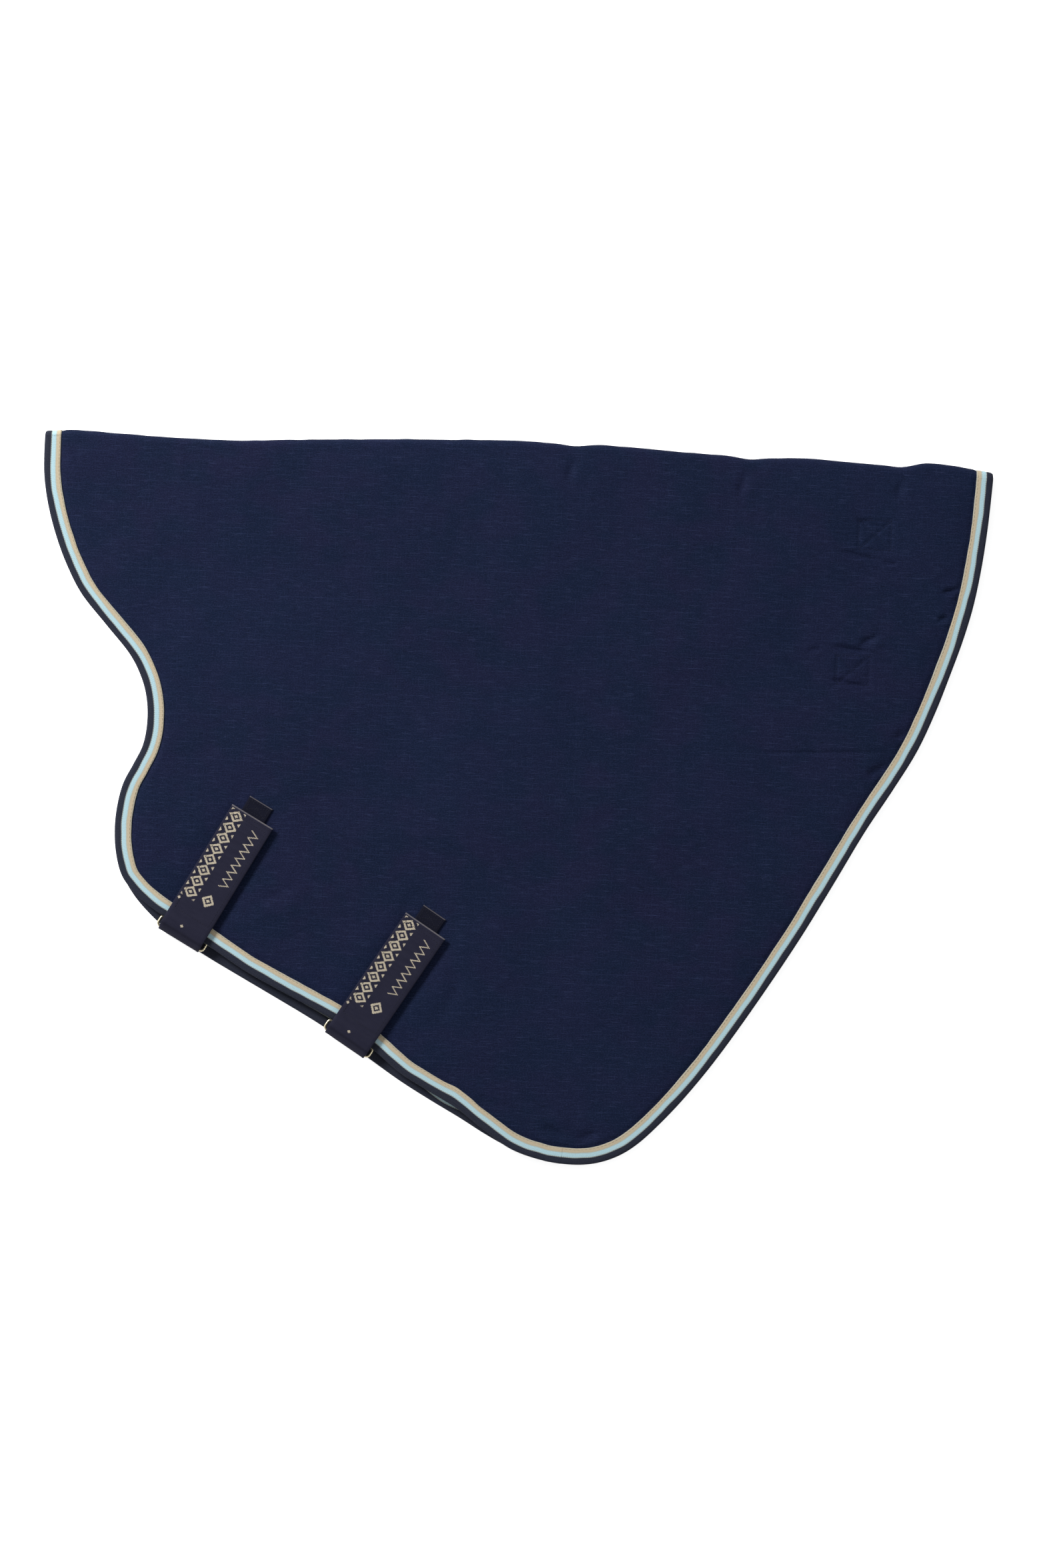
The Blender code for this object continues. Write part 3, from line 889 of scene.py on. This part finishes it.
def fold_layer(name, levels, thickness, rim, spacings, material, inner, lift=None):
    """One cloth layer of both sides with the fold between them, as a closed body.

    levels are the heights of the face that shows, above the middle of the fold. The face of an
    inner layer looks into the fold, so its thickness goes outwards.
    """
    count = round(2 * CREST_END_X / CREST_STEP)
    crest_x = np.linspace(-CREST_END_X + rim, CREST_END_X - rim, count)
    details = (FINE_SPOTS, CREASE_LINES, 1) if lift else ((), (), 2)
    near, near_faces, near_crest = flat_mesh(near_outline, rim, spacings[0], crest_x, *details)
    off, off_faces, off_crest = flat_mesh(off_outline, rim, spacings[1], crest_x, stride=2)
    depth = near_outline.depth(near)
    near_z = face_height(depth, levels)
    if lift:
        near_z = near_z + lift(near, depth)
    crest_level = face_height(CREST_END_X - np.abs(crest_x), levels)
    near_z[near_crest] = crest_level
    off_z = -face_height(off_outline.depth(off), levels)
    off_z[off_crest] = -crest_level
    points = [np.column_stack([near, near_z]), np.column_stack([off, off_z])]
    half_bend = levels[1] * math.pi / 2
    uv = [near, np.column_stack([off[:, 0], 2 * bend_y(off[:, 0]) - off[:, 1] + 2 * half_bend])]
    rows = [np.array(near_crest)]
    start = len(near) + len(off)
    for k in range(1, BEND_STEPS):
        turn = math.pi * k / BEND_STEPS
        y = bend_y(crest_x) + crest_level * math.sin(turn)
        points.append(np.column_stack([crest_x, y, crest_level * math.cos(turn)]))
        uv.append(np.column_stack([crest_x, bend_y(crest_x) + levels[1] * turn]))
        rows.append(np.arange(start, start + count))
        start += count
    rows.append(np.array(off_crest) + len(near))
    faces = [near_faces, off_faces[:, ::-1] + len(near)]
    for a, b in zip(rows, rows[1:]):
        faces.append(np.stack([a[:-1], a[1:], b[1:]], axis=1))
        faces.append(np.stack([a[:-1], b[1:], b[:-1]], axis=1))
    points = np.vstack(points) + (0, 0, MID_Z)
    faces = np.vstack(faces)
    # the sides' faces and the bend's have to look outwards
    flat = len(near_faces) + len(off_faces)
    if vertex_normals(points[:len(near)], near_faces)[:, 2].mean() < 0:
        faces[:flat] = faces[:flat, ::-1]
    if vertex_normals(points, faces[flat:])[rows[BEND_STEPS // 2], 1].mean() < 0:
        faces[flat:] = faces[flat:, ::-1]
    if inner:
        faces = faces[:, ::-1]
    below = points - vertex_normals(points, faces) * thickness
    uv = np.vstack(uv)
    return new_piece(name, np.concatenate([points, below]), closed_faces(faces, len(points)),
                     material, np.vstack([uv, uv]))


def make_layers():
    shell = fold_layer("outer_cloth", SHELL_FACE, SHELL_T, 1.6 * MM, (5 * MM, 11 * MM), SHELL,
                       False, lie_of_cloth)
    lining = fold_layer("lining_cloth", LINING_FACE, LINING_T, 2.2 * MM, (11 * MM, 11 * MM),
                        LINING, True)
    return shell, lining


def lowest_nearby(points, depth, reach=8 * MM):
    """The lowest that the near side's cloth lies around each point."""
    lowest = lie_of_cloth(points, depth)
    for turn in np.arange(8) * math.pi / 4:
        for far in (reach / 2, reach):
            around = points + far * np.array((math.cos(turn), math.sin(turn)))
            lowest = np.minimum(lowest, lie_of_cloth(around, depth))
    return lowest


def make_wadding(side, outline, up, lift):
    """The filling of one side, a soft slab with a rounded rim."""
    rim = BINDING_W + 5 * MM
    crest_x = np.linspace(-CREST_END_X + rim, CREST_END_X - rim, 110)
    flat, faces, _ = flat_mesh(outline, rim, 10 * MM, crest_x, stride=2)
    if vertex_normals(np.column_stack([flat, np.zeros(len(flat))]), faces)[:, 2].mean() < 0:
        faces = faces[:, ::-1]
    depth = outline.depth(flat)
    from_crest = bend_y(flat[:, 0]) - flat[:, 1]
    round_off = smoothstep(np.minimum(depth - rim, from_crest), 0, 9 * MM)
    middle = sum(WADDING_FACES) / 2
    half = (WADDING_FACES[1] - WADDING_FACES[0]) / 2 * (0.25 + 0.75 * round_off)
    top, bottom = middle + half, middle - half
    if lift:
        top = np.maximum(top + lift(flat, depth), bottom + 0.3 * MM)
    points = np.vstack([np.column_stack([flat, MID_Z + up * z]) for z in (top, bottom)])
    faces = closed_faces(faces, len(flat))
    piece = new_piece(f"{side}_wadding", points, faces if up > 0 else faces[:, ::-1], WADDING,
                      np.vstack([flat, flat]))
    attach(piece, f"{side}_side")
    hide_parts(f"{side}_fill")


# the bound edge's section: (distance from the edge, height above the outer face), millimetres
TAPE_SECTION = [
    (17.5, -0.50), (17.35, -0.12), (17.0, 0.0), (15.6, 0.02), (14.4, 0.08), (12.3, 0.02),
    (10.0, 0.10), (8.0, 0.04), (6.9, -0.04), (5.5, 0.04), (3.6, 0.02), (2.0, -0.12),
    (1.0, -0.45), (0.3, -1.1), (0.0, -1.95), (0.3, -2.8), (1.0, -3.45), (2.0, -3.78),
    (3.6, -3.9), (6.9, -3.86), (10.0, -3.9), (14.4, -3.9), (17.0, -3.9), (17.35, -3.78),
    (17.5, -3.4), (17.2, -3.1), (12.0, -3.1), (4.0, -3.1), (1.9, -2.8), (1.3, -1.95),
    (1.9, -1.1), (4.0, -0.8), (12.0, -0.8), (17.2, -0.8),
]


def bound_edge():
    """Stations along the whole bound edge: (middle of the fold's height, inwards, outwards)."""
    middles, inwards, outwards = [], [], []

    def add_side(outline, up, backwards):
        order = range(len(outline.points))
        for i in reversed(order) if backwards else order:
            middles.append((*outline.points[i], MID_Z))
            inwards.append((*outline.inwards[i], 0))
            outwards.append((0, 0, up))

    def add_bend(x, up):
        """The edge as it turns round the fold, at one end of the crest."""
        for k in range(1, 10):
            turn = math.pi * k / 10
            middles.append((x, bend_y(x), MID_Z))
            inwards.append((-math.copysign(1, x), 0, 0))
            outwards.append((0, math.sin(turn), up * math.cos(turn)))

    add_side(near_outline, 1, False)
    add_bend(near_outline.points[-1][0], 1)
    add_side(off_outline, -1, True)
    add_bend(near_outline.points[0][0], -1)
    return np.array(middles), np.array(inwards), np.array(outwards)


EDGE = bound_edge()
AT_CREST = np.isclose(EDGE[0][:, 1], bend_y(EDGE[0][:, 0]))

# places where the tape isn't even, in millimetres: (x, y, extra width, reach along the tape)
TAPE_FLAWS = [
    (-46, -318, 1.3, 9), (-22, -334, -0.8, 9), (468, 249, -0.9, 7), (390, 22, 0.7, 9),
    (-472, 272, -0.7, 10), (62, -372, -0.5, 8), (300, -148, 0.4, 18), (-402, 60, 0.5, 14),
]
# where the tape has rolled, so that its stripes come nearer to the edge inside the fold, in
# millimetres: (x, y, by how much, reach along the tape)
TAPE_ROLLS = [(-52, -316, 6.5, 30), (455, 200, 3.0, 16)]
# how the tape's width, stripes and height wander along it, as rows for waves
TAPE_WIDTH_WAVES = [(0.6, 55, 31.0), (0.3, 13, 33.0)]
STRIPE_WAVES = [(1.1, 48, 51.0), (0.45, 15, 52.0)]
TAPE_RIPPLE = [(0.10, 23, 3.0)]
TAPE_JOIN = (0.0578, -0.372)  # where the tape starts and ends, in metres
TAPE_SEAM = 15.9 * MM  # from the bound edge to its row of stitches


def hills(middles, places):
    """A hill of its own height and reach at each place (x, y, height, reach) along the tape."""
    for x, y, height, reach in places:
        far = np.linalg.norm(middles[:, :2] - (x * MM, y * MM), axis=1)
        yield height * MM * np.exp(-(far / (reach * MM)) ** 2)


def tape_width_change(middles, outwards):
    change = waves(middles[:, :2], TAPE_WIDTH_WAVES)
    for hill in hills(middles, TAPE_FLAWS):
        change += np.where(outwards[:, 2] > 0, hill, 0)
    return change


def sweep_tape(name, first, count, raise_by=0.0, shift=0.0, closed=False):
    """The tape's section along some stations of the bound edge."""
    middles, inwards, outwards = EDGE
    numbers = np.arange(first, first + count) % len(middles)
    along = lengths_along(middles[numbers] + outwards[numbers] * 5 * MM)
    width = 1 + tape_width_change(middles, outwards)[numbers] / BINDING_W
    ripple = waves(np.column_stack([along, along * 0]), TAPE_RIPPLE)
    section = np.array(TAPE_SECTION) * MM
    outer = section[:, 1] > -TAPE_DEPTH / 2
    wander = waves(middles[:, :2], STRIPE_WAVES)
    inner_shift = INNER_LEG_SHIFT + wander
    for hill in hills(middles, TAPE_ROLLS):
        inner_shift -= hill
    points, uv = [], []
    for k, n in enumerate(numbers):
        scale = np.where(section[:, 0] > 3 * MM, width[k], 1.0)
        level = SHELL_FACE[1] + section[:, 1] + np.where(outer, raise_by + ripple[k], 0)
        if outwards[n][2] < 0:
            level = np.minimum(level, SHELL_FACE[1])
        inset = section[:, 0] * scale + shift
        ring = middles[n] + np.outer(inset, inwards[n]) + np.outer(level, outwards[n])
        if AT_CREST[n]:
            ring[:, 1] += crest_y(ring[:, 0]) - crest_y(middles[n][0])
        points.append(ring)
        across = section[:, 0] - np.where(outer, wander[n], inner_shift[n])
        uv.append(np.column_stack([np.full(len(section), along[k]), across]))
    faces = tube_faces(len(numbers), len(section), closed, inward=True)
    return new_piece(name, np.vstack(points), faces, TAPE, np.vstack(uv), sharp=65)


# a stitch's rings of points: (along, height, width)
STITCH_RINGS = [(-0.5, -0.6, 0.4), (-0.34, 0.55, 0.9), (0.0, 1.0, 1.0), (0.34, 0.55, 0.9),
                (0.5, -0.6, 0.4)]
STITCH_SIDES = 6
# rows of stitches, in millimetres: (from stitch to stitch, length, width, height)
TAPE_STITCH = (4.2, 3.2, 0.42, 0.30)
FLAP_STITCH = (3.2, 2.4, 0.40, 0.26)
BASE_STITCH = (3.0, 2.3, 0.40, 0.26)
BOX_STITCH = (3.4, 2.5, 0.45, 0.28)


def stitch_shape():
    """A raised stitch one unit long, wide and high, whose ends dive into the cloth."""
    points = []
    for along, height, width in STITCH_RINGS:
        for k in range(STITCH_SIDES):
            turn = 2 * math.pi * k / STITCH_SIDES
            points.append((along, 0.5 * width * math.cos(turn), height / 2 + 0.5 * math.sin(turn)))
    return np.array(points), tube_faces(len(STITCH_RINGS), STITCH_SIDES)


def add_stitches(name, runs, stitch, material):
    """One piece with a row of stitches along each run of (points, outward directions)."""
    pitch, length, width, height = (size * MM for size in stitch)
    shape, shape_faces = stitch_shape()
    points, faces, uv = [], [], []
    for line, normals in runs:
        along = lengths_along(line)
        for at in np.arange(pitch / 2, along[-1], pitch):
            back, front = [np.array([np.interp(at + h, along, line[:, k]) for k in range(3)])
                           for h in (-length / 2, length / 2)]
            up = np.array([np.interp(at, along, normals[:, k]) for k in range(3)])
            forward = front - back
            forward /= max(np.linalg.norm(forward), 1e-9)
            up -= forward * (up @ forward)
            up /= np.linalg.norm(up)
            side = np.cross(up, forward)
            start = len(points) * len(shape)
            points.append((back + front) / 2 + np.outer(shape[:, 0] * length, forward)
                          + np.outer(shape[:, 1] * width, side)
                          + np.outer(shape[:, 2] * height, up))
            faces += [tuple(start + i for i in face) for face in shape_faces]
            uv.append(shape[:, :2] * (length, width))
    return new_piece(name, np.vstack(points), faces, material, np.vstack(uv), sharp=80)


def make_binding():
    """The tape, its overlap where it starts and ends, and the stitching on both faces."""
    middles, inwards, outwards = EDGE
    tape = sweep_tape("edge_tape", 0, len(middles), closed=True)
    near_middles = middles[:len(near_outline.points), :2]
    join = np.linalg.norm(near_middles - TAPE_JOIN, axis=1).argmin()
    overlap = sweep_tape("edge_tape_overlap", join, 8, raise_by=0.2 * MM, shift=-0.1 * MM)
    runs = []
    for level, facing in ((SHELL_FACE[1], outwards), (SHELL_FACE[1] - TAPE_DEPTH, -outwards)):
        line = middles + inwards * TAPE_SEAM + outwards * level
        line[AT_CREST, 1] += crest_y(line[AT_CREST, 0]) - crest_y(middles[AT_CREST, 0])
        runs.append((np.vstack([line, line[:1]]), np.vstack([facing, facing[:1]])))
    seam = add_stitches("edge_tape_stitching", runs, TAPE_STITCH, TAN_THREAD)
    return tape, overlap, seam


# ------------------------------------------------------------------ webbing


def ribbon(name, frame_here, path, half_width, thickness, material, end_s=None, sag=0.0,
           step=2 * MM):
    """Webbing along a path of (along, up) in a strap's own frame, with thick woven edges.

    end_s is how far along the weave's pattern the path's end is.
    """
    line = even_curve(path, step)
    way = np.gradient(line, axis=0)
    way /= np.linalg.norm(way, axis=1)[:, None]
    upward = np.column_stack([-way[:, 1], way[:, 0]])
    along = lengths_along(line)
    first_s = 0.0 if end_s is None else end_s - along[-1]
    across = np.linspace(-1, 1, 15) * (half_width - 0.6 * MM)
    bulge = 1 + 0.16 * smoothstep(np.abs(across), half_width - 3.2 * MM, half_width - 1.2 * MM)
    top = [(v, b * thickness / 2) for v, b in zip(across, bulge)]
    end_cap = [(half_width - 0.12 * MM, thickness * 0.36), (half_width, 0.0),
               (half_width - 0.12 * MM, -thickness * 0.36)]
    bottom = [(v, -b * thickness / 2) for v, b in zip(across[::-1], bulge[::-1])]
    section = np.array(top + end_cap + bottom + [(-v, n) for v, n in end_cap[::-1]])
    points, uv = [], []
    for k in range(len(line)):
        wave = sag * noise.noise(Vector((along[k] / (35 * MM), 3.0, half_width * 100)))
        height = section[:, 1] + wave
        place = np.column_stack([line[k, 0] + upward[k, 0] * height, section[:, 0],
                                 line[k, 1] + upward[k, 1] * height])
        points.append(frame_here.place(place))
        uv.append(np.column_stack([section[:, 0], np.full(len(section), first_s + along[k])]))
    faces = tube_faces(len(line), len(section))
    return new_piece(name, np.vstack(points), faces, material, np.vstack(uv), sharp=60)


def make_pad(frame_here, label, kind, path, half_width, thickness, body, node):
    """Hook or loop tape, sewn flat on a strap."""
    pad = ribbon(f"{label}_{kind}_pad", frame_here, path, half_width, thickness,
                 TOUCH_TAPES[kind])
    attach(pad, body)
    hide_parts(node)


def circle_points(centre, radius, start, end, count):
    turns = np.radians(np.linspace(start, end, count))
    return [(centre[0] + radius * math.cos(t), centre[1] + radius * math.sin(t)) for t in turns]


def strap_line(edge_s, curl):
    """From the sewn base over the near side's edge, round the ring's bar and along the flap."""
    lip = edge_s - 0.9 * MM - STRAP_T / 2
    under = [(15.5 * MM, BASE_Z), (edge_s + 0.3 * MM, BASE_Z), (lip, 6.6 * MM),
             (lip * 0.80, 3.4 * MM), (3.4 * MM, -0.9 * MM)]
    over = [(0.6 * MM, 5.2 * MM), (3.8 * MM, 8.6 * MM), (8.0 * MM, 11.3 * MM),
            (FLAP_START + 0.6 * MM, FLAP_Z - 0.1 * MM)]
    flap = [(FLAP_START + d, FLAP_Z) for d in (8 * MM, 20 * MM, 60 * MM, 100 * MM)]
    return even_curve(under + curl + over + flap + [(FLAP_END, FLAP_Z)], STRAP_STEP)


def make_closure(closure):
    name = closure.name
    near = closure.local(near_outline.points)
    beside = near[np.abs(near[:, 1]) < STRAP_HALF_W]
    edge_s = beside[beside[:, 0] < 60 * MM, 0].min()
    body = f"{name}_strap"

    # the flap takes over where the strap has come up off the bar
    curl = circle_points((0, 0), CURL_R, *CURL_TURN, 8)
    line = strap_line(edge_s, curl)
    cut = np.flatnonzero(line[:, 0] < FOLD_CUT)[-1]
    left = lengths_along(line[cut:])[-1]
    fold = ribbon(f"{name}_strap_fold", closure, line[:cut + 1], STRAP_HALF_W - 0.4 * MM,
                  STRAP_T, STRAP, end_s=FLAP_END - left, step=STRAP_STEP)
    off_bar = closure.place([(curl[-1][0], 0, curl[-1][1])])[0] - closure.origin
    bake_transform(fold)

    flap = ribbon(f"{name}_strap_flap", closure, line[cut - 1:], STRAP_HALF_W, STRAP_T, STRAP,
                  end_s=FLAP_END, sag=0.12 * MM)
    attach(flap, body)
    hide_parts(f"{name}_strap")
    make_pad(closure, name, "hook", [(s, HOOK_Z) for s in PAD_SPAN], *PAD_SIZE, body,
             f"{name}_hook_tape")

    base = ribbon(f"{name}_base_webbing", closure, [(BASE_START, BASE_Z), (BASE_END, BASE_Z)],
                  BASE_HALF_W, STRAP_T, PLAIN_STRAP, end_s=BASE_END, sag=0.1 * MM)
    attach(base, "near_side")
    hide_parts(f"{name}_strap_base")
    make_pad(closure, name, "loop", [(s, LOOP_Z) for s in PAD_SPAN], *PAD_SIZE, "near_side",
             f"{name}_loop_patch")

    make_ring(closure)
    make_tab(closure)
    make_strap_seams(closure)


def make_ring(closure):
    """The wire ring, a long rectangle with round corners, swept as a closed tube."""
    loop = []
    for deep, side, start in [(1, 1, 0), (0, 1, 90), (0, -1, 180), (1, -1, 270)]:
        s = RING_DEPTH - RING_CORNER_R if deep else RING_CORNER_R
        v = side * (RING_HALF_W - RING_CORNER_R)
        loop += circle_points((s, v), RING_CORNER_R, start, start + 90, 9)
    loop = np.array(loop)
    way = np.roll(loop, -1, axis=0) - np.roll(loop, 1, axis=0)
    way /= np.linalg.norm(way, axis=1)[:, None]
    side = np.column_stack([way[:, 1], -way[:, 0]])
    turns = np.linspace(0, 2 * math.pi, RING_SIDES, endpoint=False)
    points, uv = [], []
    for k, along in enumerate(lengths_along(loop)):
        flat = loop[k] + np.outer(np.cos(turns) * WIRE_R, side[k])
        points.append(closure.place(np.column_stack([flat, np.sin(turns) * WIRE_R])))
        uv.append(np.column_stack([np.full(RING_SIDES, along), turns * WIRE_R]))
    faces = tube_faces(len(loop), RING_SIDES, closed=True)
    ring = new_piece(f"{closure.name}_ring_wire", np.vstack(points), faces, RING, np.vstack(uv))
    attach(ring, f"{closure.name}_ring")
    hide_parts(f"{closure.name}_ring")


def make_tab(closure):
    """The tab sewn inside the off side, looped round the ring's inner bar."""
    loop_r = WIRE_R + 0.3 * MM + INNER_WEBBING_T / 2
    lower = -2.1 * MM + INNER_WEBBING_T / 2
    upper = lower + 1.3 * MM
    path = [(s * MM, lower) for s in (42, 34, 26, 19)]
    path += circle_points((RING_DEPTH, 0), loop_r, 290, 60, 12)
    path += [(s * MM, upper) for s in (20, 27, 34, 42)]
    tab = ribbon(f"{closure.name}_tab_webbing", closure, path, 20 * MM, INNER_WEBBING_T,
                 INNER_WEBBING, step=STRAP_STEP)
    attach(tab, "off_side")
    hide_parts(f"{closure.name}_ring_tab")


def rectangle(s0, s1, half):
    return [(s0, -half), (s1, -half), (s1, half), (s0, half), (s0, -half)]


def dense(path):
    """A path of straight runs with points close together."""
    path = np.asarray(path, float)
    runs = []
    for a, b in zip(path, path[1:]):
        count = max(2, round(np.linalg.norm(b - a) / MM))
        runs.append(a + (b - a) * np.linspace(0, 1, count, endpoint=False)[:, None])
    return np.vstack([*runs, path[-1:]])


def stitch_webbing(closure, part, paths, level, stitch, body):
    """Rows of stitches along paths of (along, across) on top of a strap."""
    top = level + STRAP_T / 2 + 0.02 * MM
    runs = []
    for path in paths:
        line = closure.place(dense([(s, v, top) for s, v in path]))
        runs.append((line, np.tile((0, 0, 1.0), (len(line), 1))))
    seam = add_stitches(f"{closure.name}_{part}_stitching", runs, stitch, DARK_THREAD)
    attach(seam, body)


def make_strap_seams(closure):
    """Stitching on the flap, along its tapes and hem, and on the end of the sewn base."""
    hem = FLAP_END - 4 * MM
    stitch_webbing(closure, "flap", [rectangle(26 * MM, 142 * MM, 20.5 * MM),
                                     [(hem, -23 * MM), (hem, 23 * MM)]],
                   FLAP_Z, FLAP_STITCH, f"{closure.name}_strap")
    box = rectangle(BASE_END - 14 * MM, BASE_END - 2.5 * MM, 11 * MM)
    stitch_webbing(closure, "base", [box, [box[0], box[2]], [box[3], box[1]]],
                   BASE_Z, BASE_STITCH, "near_side")


# ------------------------------------------------------------------ inner attachment straps


class Hanging:
    """The frame of an inner strap, which points down its length."""

    def __init__(self, x, y):
        self.origin = np.array((x, y, MID_Z))

    def place(self, points):
        points = np.asarray(points, float)
        return self.origin + np.column_stack([points[:, 1], -points[:, 0], points[:, 2]])


def make_attachment(side, name, middle):
    """A webbing strap sewn inside at its upper end, with touch tape on both parts."""
    label = f"{side}_{name}_attachment"
    body = f"{side}_side"
    low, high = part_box(f"{label}_base")
    tip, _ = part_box(f"{label}_strap")
    frame_here = Hanging(middle[0] * MM, high.y)
    level = (low.z + high.z) / 2 - MID_Z
    length = high.y - tip.y
    webbing = ribbon(f"{label}_webbing", frame_here,
                     [(0, level), (length * 0.5, level), (length, level)],
                     (high.x - low.x) / 2, INNER_WEBBING_T, INNER_WEBBING)
    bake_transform(webbing)
    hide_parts(f"{label}_base", f"{label}_strap")
    loop_low, loop_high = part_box(f"{label}_loop_tape")
    level = (loop_low.z + loop_high.z) / 2 - MID_Z
    for kind, carrier in (("loop", body), ("hook", label)):
        low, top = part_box(f"{label}_{kind}_tape")
        make_pad(frame_here, label, kind, [(high.y - top.y, level), (high.y - low.y, level)],
                 (top.x - low.x) / 2, INNER_PAD_T, carrier, f"{label}_{kind}_tape")


def surface_line(tree, path, up):
    """A path of (x, y) laid on a surface, and the surface's directions along it."""
    line, normals = [], []
    for x, y in path:
        place, normal, _, _ = tree.ray_cast(Vector((x, y, MID_Z + up * 0.1)), Vector((0, 0, -up)))
        line.append(place)
        normals.append(-normal if normal.z * up < 0 else normal)
    return np.array(line), np.array(normals)


def make_box_stitching(shell):
    """The inner straps' box and cross stitching, seen on the outer cloth of both sides."""
    tree = BVHTree.FromPolygons([v.co for v in shell.data.vertices],
                                [tuple(f.vertices) for f in shell.data.polygons])
    a, b = PATCH_HALF
    box = [(-a, -b), (a, -b), (a, b), (-a, b), (-a, -b)]
    for side, up in (("near", 1), ("off", -1)):
        runs = []
        for _, (cx, cy) in PATCHES:
            for path in (box, [box[0], box[2]], [box[3], box[1]]):
                path = dense(np.array(path) + (cx * MM, cy * MM))
                runs.append(surface_line(tree, path, up))
        seam = add_stitches(f"{side}_box_stitching", runs, BOX_STITCH, NAVY_THREAD)
        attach(seam, f"{side}_side")


# ------------------------------------------------------------------ scene


def make_camera():
    camera = bpy.data.cameras.new("photo_view")
    camera.type = "PERSP"
    camera.lens = LENS_MM
    camera.sensor_width = SENSOR_MM
    camera.dof.use_dof = False
    camera.clip_end = 100.0
    view = bpy.data.objects.new("photo_view", camera)
    view.location = (*CAMERA_AIM, STACK_TOP + VIEW_LONG_SIDE * LENS_MM / SENSOR_MM)
    view.rotation_euler = (0.0, 0.0, CAMERA_TURN)
    bpy.context.scene.collection.objects.link(view)
    bpy.context.scene.camera = view


def make_floor():
    half = FLOOR_SIZE / 2
    mesh = bpy.data.meshes.new("floor")
    mesh.from_pydata([(-half, -half, 0), (half, -half, 0), (half, half, 0), (-half, half, 0)],
                     [], [(0, 1, 2, 3)])
    paint = bpy.data.materials.new("pale_floor")
    paint.use_nodes = True
    shader = paint.node_tree.nodes["Principled BSDF"]
    for socket, value in (("Base Color", (0.92, 0.92, 0.92, 1)), ("Roughness", 0.9),
                          ("Specular IOR Level", 0.1), ("Emission Color", (1, 1, 1, 1)),
                          ("Emission Strength", FLOOR_GLOW)):
        shader.inputs[socket].default_value = value
    mesh.materials.append(paint)
    floor = bpy.data.objects.new("floor", mesh)
    floor.location.z = FLOOR_Z
    bpy.context.scene.collection.objects.link(floor)


def make_light():
    world = bpy.data.worlds.new("studio")
    world.use_nodes = True
    sky = world.node_tree.nodes["Background"]
    sky.inputs["Color"].default_value = (1.0, 1.0, 1.0, 1)
    sky.inputs["Strength"].default_value = SKY_STRENGTH
    bpy.context.scene.world = world
    for name, place, size, power in LIGHTS:
        light = bpy.data.lights.new(name, "AREA")
        light.shape = "DISK"
        light.size = size
        light.energy = power
        lamp = bpy.data.objects.new(name, light)
        lamp.location = place
        lamp.rotation_euler = (-Vector(place)).to_track_quat("-Z", "Y").to_euler()
        bpy.context.scene.collection.objects.link(lamp)
    bpy.context.scene.view_settings.view_transform = "Standard"


def main():
    make_camera()
    make_floor()
    make_light()
    shell, lining = make_layers()
    make_wadding("near", near_outline, 1, lowest_nearby)
    make_wadding("off", off_outline, -1, None)
    tape, overlap, seam = make_binding()
    make_box_stitching(shell)
    # the layers, the tape and its stitching have their placing baked into their meshes
    for piece, slot in ((shell, "ripstop_shell"), (lining, "lining_cloth"),
                        (tape, "edge_binding"), (seam, "edge_binding")):
        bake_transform(piece)
    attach(overlap, "near_side")
    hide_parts("off_outer_shell", "near_outer_shell")
    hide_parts("off_lining", "near_lining")
    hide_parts("off_edge_binding", "near_edge_binding")
    for closure in closures:
        make_closure(closure)
    for side, up in (("off", 1), ("near", -1)):
        for name, middle in PATCHES:
            make_attachment(side, name, middle)


main()
